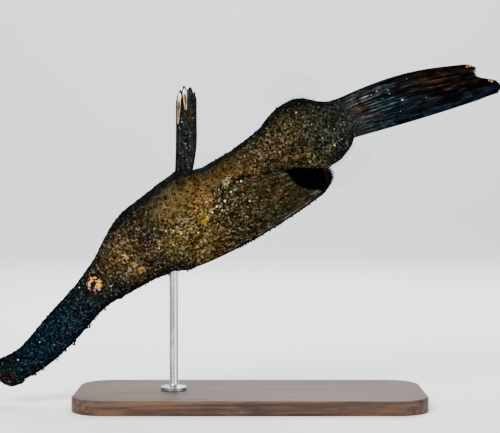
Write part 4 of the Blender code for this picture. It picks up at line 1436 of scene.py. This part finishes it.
def dorsal_finish():
    p = Paint("first_dorsal")
    at = p.millimetres()
    x, _, z = p.split(at)
    u, v, _ = p.split(p.field("flag"))
    shown = p.shown(at)
    patchy = p.noise(at, 1.6, 2.0)
    fine = p.noise(at, 0.6, 2.0, 0.7)
    tall = p.warped(p.stretch(at, (1.0, 1.0, 0.75)), 0.9, 0.6)
    grain, tone = p.grains(tall, 0.36)
    ground = p.mix(p.fade(patchy, 0.42, 0.58), tint(10, 23, 27), tint(31, 28, 18))
    ground = p.mix(p.fade(tone, 0.65, 0.85) * 0.7, ground, tint(44, 27, 19))
    rim = p.fade(v, 0.12, 0.0) + p.fade(v, 0.86, 1.0)
    ground = p.mix(rim * 0.8, ground, tint(5, 13, 18))
    ground = p.shade(ground, grain * 1.2)
    side = p.join(x, z)
    specks = p.specks(p.warped(side, 0.7, 0.6), 1.7, 0.26) * (1 - rim * 0.6)
    ground = p.mix(specks * 0.45, ground, tint(92, 130, 140))
    for spot, radius, colour in DORSAL_SPOTS:
        ground = p.mix(p.near(shown, spot, radius) * 0.8, ground, colour)
    thread = p.noise(p.join(x * 2.6, z * 0.35), 1.0, 3.0, 0.6)
    for top, foot, wide in PALE_STRIPES:
        down = (top[1] - z) / (top[1] - foot[1])
        away = abs(x - down * (foot[0] - top[0]) - top[0]) + (thread - 0.5) * 0.4
        away = away + p.fade(down, 0.3, 1.1) * 0.25 + p.fade(down, 0.12, -0.02) * 0.4
        ends = p.fade(down, 1.05, 0.95) * p.fade(down, -0.08, 0.0)
        ground = p.mix(p.fade(away, wide + 0.35, wide) * ends * 0.85, ground, NEAR_BLACK)
        copper = p.mix(p.fade(thread, 0.4, 0.62), tint(140, 100, 74), tint(214, 184, 152))
        pale = p.mix(p.fade(down, 0.15, 0.5), tint(228, 224, 208), copper)
        core = p.fade(away, wide * 0.7, wide * 0.3) * p.fade(down, 0.18, 0.35)
        pale = p.mix(core, pale, tint(58, 30, 16))
        ground = p.mix(p.fade(away, wide, wide * 0.7) * ends, ground, pale)
    ground = p.mix(p.fade(u, 0.955, 0.985), ground, tint(5, 13, 18))
    return p.finish(
        {"Base Color": ground, "Roughness": 0.5 + fine * 0.2},
        (grain * 0.3 + fine * 0.4 + thread * 0.4, 0.16),
        Specular_IOR_Level=0.04,
    )


dorsal_paint = dorsal_finish()


# %% Build the first dorsal fin
def dorsal_spot(u, v):
    spines = len(FIRST_DORSAL_SPINES)
    distance = between(FIRST_DORSAL_BASE, v)
    root = place(distance, smooth(distance, SECTIONS)[..., 0] - SINK)
    height, tip_x = spread(v, FIRST_DORSAL_SPINES)
    ridge = 1 - 2 * np.abs(off_ray(v, spines))
    notch = FIRST_DORSAL_NOTCH * (1 - ridge) ** 1.6 * fade(u, 0.9, 1.0)
    corner = 1.6 * (fade(v, 0.08, 0.0) + fade(v, 0.93, 1.0)) * fade(u, 0.86, 1.0)
    bend = np.sin(np.pi / 2 * np.minimum(1.0, FIRST_DORSAL_SPREAD * u))
    x = between((root[..., 0], tip_x), bend)
    fold = FIRST_DORSAL_FOLD * (1 - 2 * ridge) * np.minimum(1.0, 3 * u)
    return np.stack([x, fold, root[..., 2] + (height + SINK) * u - notch - corner], -1)


def dorsal_fields(u, v):
    return {"flag": np.stack([u, v, fade(u, 0.05, 0.2)], -1)}


def make_first_dorsal():
    u, v = fin_grid(110, 4 * 20 + 1)
    half = 0.24 + 0.1 * on_ray(u, v, len(FIRST_DORSAL_SPINES), 0, 0.36)
    half *= 1 - 0.5 * fade(u, 0.88, 1.0)
    web = sheet("first_dorsal_web", dorsal_spot(u, v), half, dorsal_paint, dorsal_fields(u, v))
    spines = len(FIRST_DORSAL_SPINES)
    lines = ray_lines(dorsal_spot, dorsal_fields, spines, 0, FIRST_DORSAL_RADII, 60)
    rods = make_rods("first_dorsal_spines", lines, dorsal_paint, 10)
    dress(web, "fin_skin", "first_dorsal_fin")
    dress(rods, "fin_skin")


make_first_dorsal()

# %% [markdown]
# ## The clear fins
#
# The second dorsal, the anal and the two pectoral fins of the real fish are as clear as
# cling film, with fine pale rays. Glass would be wrong for them, because nothing that
# thin bends light, so the web simply lets most of the light through.

# %% Sizes and finish of the clear fins
SOFT_RAYS = 18
SECOND_DORSAL_BASE = (107.8, 116.8)
SECOND_DORSAL_LEAN = (28.0, -46.0)
ANAL_BASE = (109.6, 119.4)
ANAL_LEAN = (12.0, -46.0)
SOFT_FIN_HEIGHT = 7.2
PECTORAL_BASE = (61.2, 60.0)
PECTORAL_SPAN = (2.4, -4.0)
PECTORAL_RAYS = 13
PECTORAL_LENGTH = 8.4
PECTORAL_FAN = (34.0, -34.0)
PECTORAL_FLARE = 26.0
CLEAR_RAY_RADII = (0.1, 0.04)


def clear_finish(name, alpha, colour):
    p = Paint(name)
    at = p.millimetres()
    u, v, root = p.split(p.field("flag"))
    cloud = p.noise(at, 1.4, 2.0)
    ground = p.mix(root, tint(26, 24, 20), p.shade(colour, 0.7 + cloud * 0.6))
    seen = alpha + (1 - root) * 0.12 + (cloud - 0.5) * 0.03
    return p.finish(
        {"Base Color": ground, "Roughness": 0.4 + cloud * 0.15, "Alpha": seen},
        Specular_IOR_Level=0.05,
    )


clear_web = clear_finish("clear_web", 0.03, tint(58, 50, 32))
dusky_ray = clear_finish("dusky_ray", 0.1, tint(80, 70, 46))
pale_ray = clear_finish("pale_ray", 0.08, tint(84, 80, 70))


# %% Build the clear fins
def soft_spot(base, lean, sign):
    """The surface of a low fan on the crest of the back, or below on the belly side."""

    def spot(u, v):
        distance = between(base, v)
        section = smooth(distance, SECTIONS)
        reach = section[..., 0] if sign > 0 else section[..., 1]
        root = place(distance, sign * (reach - SINK))
        way = upright(distance, sign * between(lean, v)) * sign
        length = SOFT_FIN_HEIGHT * (0.68 + 0.32 * np.sin(np.pi * (0.15 + 0.75 * v)))
        length = length - 0.6 * (1 - on_ray(u, v, SOFT_RAYS, 0, 0.5)) * u**4
        sway = 0.35 * np.sin(5 * v + 2 * u) * u
        return root + way * ((length + SINK) * u)[..., None] + np.stack([0 * u, sway, 0 * u], -1)

    return spot


def pectoral_spot(side):
    """The surface of the rounded fan behind the gill cover, swept back and outwards."""

    def spot(u, v):
        distance = between(PECTORAL_BASE, v)
        height = between(PECTORAL_SPAN, v)
        root = place(distance, height, side * (half_width_at(distance, height) - SINK))
        fan = np.radians(between(PECTORAL_FAN, v))
        flare = np.radians(PECTORAL_FLARE + 10 * (1 - u))
        length = PECTORAL_LENGTH * (0.78 + 0.22 * np.sin(np.pi * v))
        length = length - 0.5 * (1 - on_ray(u, v, PECTORAL_RAYS, 0, 0.5)) * u**4
        reach = ((length + SINK) * u)[..., None]
        way = upright(distance, -90.0) * (np.cos(fan) * np.cos(flare))[..., None]
        way = way + upright(distance) * np.sin(fan)[..., None]
        return root + way * reach + np.stack([0 * u, side * np.sin(flare), 0 * u], -1) * reach

    return spot


def clear_fields(u, v):
    return {"flag": np.stack([u, v, fade(u, 0.08, 0.3)], -1)}


def make_clear_fin(name, spot, rays, node, ray_finish):
    u, v = fin_grid(30, (rays - 1) * 5 + 1)
    half = 0.07 + 0.05 * on_ray(u, v, rays, 0, 0.4) + 0 * u
    web = sheet(name + "_web", spot(u, v), half, clear_web, clear_fields(u, v))
    lines = ray_lines(spot, clear_fields, rays, 0, CLEAR_RAY_RADII, 26)
    rods = make_rods(name + "_rays", lines, ray_finish)
    dress(web, "clear_fin", node)
    dress(rods, "clear_fin")


second_dorsal = soft_spot(SECOND_DORSAL_BASE, SECOND_DORSAL_LEAN, 1)
anal = soft_spot(ANAL_BASE, ANAL_LEAN, -1)
make_clear_fin("second_dorsal", second_dorsal, SOFT_RAYS, "second_dorsal_fin", pale_ray)
make_clear_fin("anal", anal, SOFT_RAYS, "anal_fin", pale_ray)
for side, word in ((-1, "left"), (1, "right")):
    node = "pectoral_fin_" + word
    make_clear_fin("pectoral_" + word, pectoral_spot(side), PECTORAL_RAYS, node, dusky_ray)

# %% [markdown]
# ## Skin flaps
#
# Ghost pipefish hide among weed, and small ragged flaps and bristles break up their
# outline. On this fish most stand along the lower edge of the snout, the belly and the
# lower edge of the pelvic fins, and a few along the back. A flap is the same small blade
# again and again, so a second tree sets one on each point of a guide, turned to its
# direction, with a seed that never changes.


# %% Sizes of the flaps
FLAP_ZONES = (  # from, to, how many, on the belly side, length
    (3.0, 36.0, 30, True, 0.34),
    (41.0, 66.0, 20, True, 0.26),
    (2.0, 34.0, 6, False, 0.22),
    (84.0, 108.0, 8, False, 0.22),
)
LARGE_FLAPS = ((10.6, 0.7), (16.5, 0.7), (22.4, 0.85), (22.9, 0.6), (29.4, 0.7), (35.5, 0.6))
FLAP_SIDES = 6
FLAP_WIDTH = 0.75
FLAP_FLATNESS = 0.4
FIN_FLAPS = 24
FIN_FLAP_LENGTH = 0.3
FIN_SPIKE = 1.0
FLAP_PATCH = 0.003  # how large a flap is in the unwrap
FLAP_LIFT = 0.35  # how far along its length a flap's middle stands off its root
draw = np.random.default_rng(7)
print("flaps:", sum(zone[2] for zone in FLAP_ZONES) + len(LARGE_FLAPS) + 2 * FIN_FLAPS + 1)


# %% The tree that plants flaps
def flaps_tree():
    inputs = {"Points": "Geometry", "Width": "Float", "Length": "Float", "Seed": "Int"}
    t = Tree("flaps", "Flaps", inputs | {"Finish": "Material"})
    values = {"Vertices": FLAP_SIDES, "Side Segments": 3, "Radius Top": 0.12, "Radius Bottom": 0.5}
    blade = t.add("GeometryNodeMeshCone", None, values | {"Depth": 1.0})
    values = {"Vector": t.named("way", "FLOAT_VECTOR")}
    turn = t.add("FunctionNodeAlignRotationToVector", {"axis": "Z"}, values)
    values = {"Min": 0.6, "Max": 1.25, "Seed": t.given["Seed"]}
    chance = t.add("FunctionNodeRandomValue", {"data_type": "FLOAT"}, values)
    wide = t.given["Width"]
    tall = t.named("length", "FLOAT") * t.given["Length"] * chance
    size = t.add("ShaderNodeCombineXYZ", None, {"X": wide, "Y": wide * FLAP_FLATNESS, "Z": tall})
    values = {"Points": t.given["Points"], "Instance": blade, "Rotation": turn, "Scale": size}
    return t.close(t.add("GeometryNodeInstanceOnPoints", None, values))


FLAPS = flaps_tree()
print("tree inputs:", list(FLAPS.interface.items_tree.keys()))


# %% Plant the flaps
def flap_roots():
    """Distance, height, side, length and direction of every flap."""
    rows = []
    for first, last, count, below, length in FLAP_ZONES:
        for distance in np.sort(draw.uniform(first, last, count)):
            rows.append((distance, below, draw.uniform(-0.25, 0.25), length * draw.uniform(0.6, 1.4)))
    rows += [(distance, True, draw.uniform(-0.1, 0.1), length) for distance, length in LARGE_FLAPS]
    made = []
    for distance, below, turn, length in rows:
        up, down, width, edge = smooth(distance, SECTIONS)
        sign = -1.0 if below else 1.0
        middle, half = (up - down) / 2, (up + down) / 2
        height = middle + sign * half * math.cos(turn)
        side = width * math.copysign(abs(math.sin(turn)) ** (2 * edge), turn)
        way = upright(distance, draw.uniform(-50, 20) * sign) * sign + np.array([0, turn * 1.5, 0])
        round_place = (sign * turn / (2 * math.pi) + (0.5 if below else 1.0)) % 1.0
        made.append((place(distance, height, side), way, length, (distance, height, 1.0), round_place))
    return made


def fin_flap_root(side, u, v):
    """A place on a pelvic fin: the point, its distance from the mouth and its body field."""
    distance, height, out = (float(value) for value in pelvic_place(side, u, v))
    return place(distance, height, out), distance, (distance, height, 1.0)


def fin_flap_roots():
    """The same along the pelvic fins' lower edges, and a spike at the right one's tip."""
    made = []
    for side in (-1, 1):
        for u in np.sort(draw.uniform(0.3, 0.97, FIN_FLAPS)):
            root, distance, field = fin_flap_root(side, u, 1.0)
            way = -upright(distance, draw.uniform(-20, 50)) + np.array([0.0, 0.3 * side, 0.0])
            length = FIN_FLAP_LENGTH * draw.uniform(0.5, 1.5)
            made.append((root, way, length, field, 0.5 + 0.08 * side))
    root, distance, field = fin_flap_root(1, 0.98, 0.0)
    made.append((root, upright(distance, -75.0), FIN_SPIKE, field, 0.7))
    return made


def map_flaps(piece, roots):
    """A small patch of the skin's unwrap for each flap, at its root's own place."""
    each = len(piece.data.vertices) // len(roots)
    spots = np.array([(root[3][0] / FISH_LENGTH, root[4]) for root in roots])
    index = np.empty(len(piece.data.loops), int)
    piece.data.loops.foreach_get("vertex_index", index)
    corner = np.stack([index % each % FLAP_SIDES / FLAP_SIDES, index % each / each], -1)
    layer = piece.data.uv_layers.new(name="OFBake")
    unwrapped = (spots[index // each] + FLAP_PATCH * corner).astype(np.float32)
    layer.data.foreach_set("uv", unwrapped.ravel())


def make_flaps():
    roots = flap_roots() + fin_flap_roots()
    points = np.array([root + way * length * FLAP_LIFT for root, way, length, *_ in roots])
    fields = {key: [root[k] for root in roots] for k, key in enumerate(("way", "length", "body"), 1)}
    guide = new_object("skin_flaps", new_mesh("skin_flaps", points, [], [], fields))
    settings = {"Width": FLAP_WIDTH * MM, "Length": MM, "Seed": 3, "Finish": skin}
    piece = run_tree(guide, FLAPS, settings)
    map_flaps(piece, roots)
    dress(piece, "skin")


make_flaps()

# %% [markdown]
# ## The stand
#
# The fish swims in mid-water, so the model is held by a plain stand: an oiled dark wood
# base and one bright steel rod up to the breast. Both are turned or cut from simple
# outlines, with the edges rounded as a workshop would leave them.

# %% Sizes of the stand
BASE_LENGTH = 96.0
BASE_WIDTH = 38.0
BASE_HEIGHT = 4.0
BASE_CORNER = 9.0
BASE_EDGE = 0.6
EDGE_STEPS = 6
ROD_AT_X = -21.0
ROD_RADIUS = 1.2
ROD_FOOT_RADIUS = 3.6
ROD_FOOT_HEIGHT = 1.0
ROD_TOP = 38.0
GAP = 0.3
print("base in mm:", BASE_LENGTH, BASE_WIDTH, BASE_HEIGHT)


# %% Finishes of the stand
def wood_finish():
    p = Paint("oiled_wood")
    at = p.millimetres()
    bent = p.vector("ADD", at, p.join(0.0, p.noise(at, 30.0) * 5.0))
    grain = p.noise(p.stretch(bent, (0.035, 1.1, 1.1)), 1.4, 5.0, 0.6)
    fibre = p.noise(p.stretch(at, (0.12, 3.0, 3.0)), 0.8, 3.0, 0.6)
    pores = p.fade(p.noise(p.stretch(at, (0.25, 3.4, 3.4)), 1.1, 1.0), 0.66, 0.76)
    ground = p.mix(p.fade(grain, 0.32, 0.68), tint(38, 25, 18), tint(86, 58, 40))
    ground = p.shade(ground, 0.65 + fibre * 0.7)
    ground = p.mix(pores * 0.7, ground, tint(20, 13, 10))
    return p.finish(
        {"Base Color": ground, "Roughness": 0.5 + fibre * 0.15 + pores * 0.15},
        (fibre * 0.3 - pores, 0.06),
        Specular_IOR_Level=0.3,
    )


def steel_finish():
    p = Paint("turned_steel")
    at = p.millimetres()
    lines = p.noise(p.stretch(at, (0.25, 0.25, 9.0)), 0.8, 3.0, 0.6)
    smear = p.noise(at, 6.0, 2.0)
    ground = p.mix(lines, tint(168, 170, 172), tint(206, 207, 208))
    rough = 0.2 + lines * 0.14 + p.fade(smear, 0.5, 0.7) * 0.12
    return p.finish({"Base Color": ground, "Roughness": rough}, (lines, 0.012), Metallic=1.0)


wood, steel = wood_finish(), steel_finish()


# %% Build the stand
def outline(inset, height, steps=14):
    """Points of the base's outline, pulled in by an inset."""
    points = []
    for quarter, (sx, sy) in enumerate(((1, 1), (-1, 1), (-1, -1), (1, -1))):
        for i in range(steps + 1):
            turn = math.pi / 2 * (quarter + i / steps)
            reach = BASE_CORNER - inset
            x = sx * (BASE_LENGTH / 2 - BASE_CORNER) + reach * math.cos(turn)
            points.append((x, sy * (BASE_WIDTH / 2 - BASE_CORNER) + reach * math.sin(turn), height))
    return points


def stacked(name, rings, finish, sharp=35.0):
    """A closed solid through rings that lie one over the other."""
    count = len(rings[0])
    points = [point for ring in rings for point in ring]
    faces = grid_faces(len(rings), count, True).tolist()
    faces += [list(range(count)), list(range(len(points) - count, len(points)))]
    made = new_piece(name, points, faces, finish)
    made.data.set_sharp_from_angle(angle=math.radians(sharp))
    return made


def make_base():
    bends = [math.pi / 2 * i / EDGE_STEPS for i in range(EDGE_STEPS + 1)]
    low = [(BASE_EDGE / 2 * (1 - math.sin(b)), BASE_EDGE / 2 * (1 - math.cos(b))) for b in bends]
    top = [(BASE_EDGE * (1 - math.cos(b)), BASE_HEIGHT - BASE_EDGE * (1 - math.sin(b))) for b in bends]
    rings = [outline(inset, z) for inset, z in low + top]
    dress(stacked("stand_base_wood", rings, wood), "base", "stand_base")


def make_rod():
    foot = BASE_HEIGHT + GAP
    profile = [
        (ROD_FOOT_RADIUS - 0.15, foot - GAP),
        (ROD_FOOT_RADIUS, foot - GAP + 0.15),
        (ROD_FOOT_RADIUS, foot + 0.55 * ROD_FOOT_HEIGHT),
        (ROD_FOOT_RADIUS - 0.12, foot + 0.7 * ROD_FOOT_HEIGHT),
        (ROD_FOOT_RADIUS - 0.4, foot + 0.78 * ROD_FOOT_HEIGHT),
        (ROD_RADIUS + 0.7, foot + ROD_FOOT_HEIGHT),
        (ROD_RADIUS + 0.22, foot + ROD_FOOT_HEIGHT + 0.16),
        (ROD_RADIUS, foot + ROD_FOOT_HEIGHT + 0.6),
        (ROD_RADIUS, ROD_TOP),
    ]
    turns = np.linspace(0, 2 * np.pi, 64, endpoint=False)
    rings = [[(ROD_AT_X + r * math.cos(t), r * math.sin(t), z) for t in turns] for r, z in profile]
    dress(stacked("stand_rod_steel", rings, steel), "rod", "stand_rod")


make_base()
make_rod()

# %% [markdown]
# ## Floor, light and camera
#
# The studio is a pale sweep of paper with large soft lights, so that the dark fish reads
# by its outline, as it does against bright water. The camera has a long lens, nearly
# level with the fish and square to its left side.


# %% Build the sweep
def floor_finish():
    p = Paint("paper")
    at = p.millimetres()
    cloud = p.noise(at, 60.0, 2.0)
    ground = p.mix(cloud, tint(238, 239, 240), tint(242, 242, 242))
    return p.finish({"Base Color": ground, "Roughness": 0.7 + cloud * 0.1}, (p.noise(at, 0.8), 0.01))


def make_sweep():
    """A floor that curves up behind the fish into a backdrop."""
    reach, bend, wall = 900.0, 260.0, 1300.0
    profile = [(-reach, 0.0), (reach - bend, 0.0)]
    for i in range(1, 25):
        turn = math.pi / 2 * i / 24
        profile.append((reach - bend + bend * math.sin(turn), bend * (1 - math.cos(turn))))
    profile.append((reach, wall))
    points = [(x, y, z) for y, z in profile for x in (-1500.0, 1500.0)]
    faces = grid_faces(len(profile), 2, False).tolist()
    made = new_piece("paper_sweep", points, faces, floor_finish())
    made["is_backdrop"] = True


make_sweep()

# %% Lights
world = bpy.data.worlds.new("studio")
world.use_nodes = True
sky = world.node_tree.nodes["Background"].inputs
sky["Color"].default_value = (0.93, 0.96, 1.0, 1.0)
sky["Strength"].default_value = 0.55
bpy.context.scene.world = world


def soft_light(name, at, aim, size, power):
    """A square lamp in millimetres, turned to its aim."""
    lamp = bpy.data.lights.new(name, "AREA")
    lamp.size = size * MM
    lamp.energy = power
    made = new_object(name, lamp)
    made.location = Vector(at) * MM
    made.rotation_euler = (Vector(aim) - Vector(at)).to_track_quat("-Z", "Y").to_euler()


AIM = (0.0, 0.0, 50.0)
soft_light("key", (-260.0, -420.0, 420.0), AIM, 300.0, 7.0)
soft_light("fill", (420.0, -380.0, 160.0), AIM, 400.0, 2.2)
soft_light("back", (60.0, 360.0, 420.0), AIM, 300.0, 3.0)
soft_light("wall", (0.0, 250.0, 620.0), (0.0, 900.0, 200.0), 500.0, 5.0)

# %% Camera
PICTURE_WIDTH = 137.5  # what the picture takes in at the fish's own distance
PICTURE_MIDDLE = (0.0, 51.9)
LENS = 100.0
SENSOR = 36.0
ELEVATION = 2.0
camera_data = bpy.data.cameras.new("camera")
camera_data.lens = LENS
camera_data.sensor_width = SENSOR
camera = new_object("camera", camera_data)
away = PICTURE_WIDTH * LENS / SENSOR
tilt = math.radians(ELEVATION)
back = Vector((0.0, -math.cos(tilt), math.sin(tilt)))
camera.location = (Vector((PICTURE_MIDDLE[0], 0.0, PICTURE_MIDDLE[1])) + back * away) * MM
camera.rotation_euler = (-back).to_track_quat("-Z", "Y").to_euler()
bpy.context.scene.camera = camera
print("camera in mm:", [round(v / MM) for v in camera.location])

# %% Close the scene
seen_box = [list(corner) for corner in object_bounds()]
for corners in zip(solid_box, seen_box):
    print("box corners in mm:", *([round(v / MM, 2) for v in corner] for corner in corners))
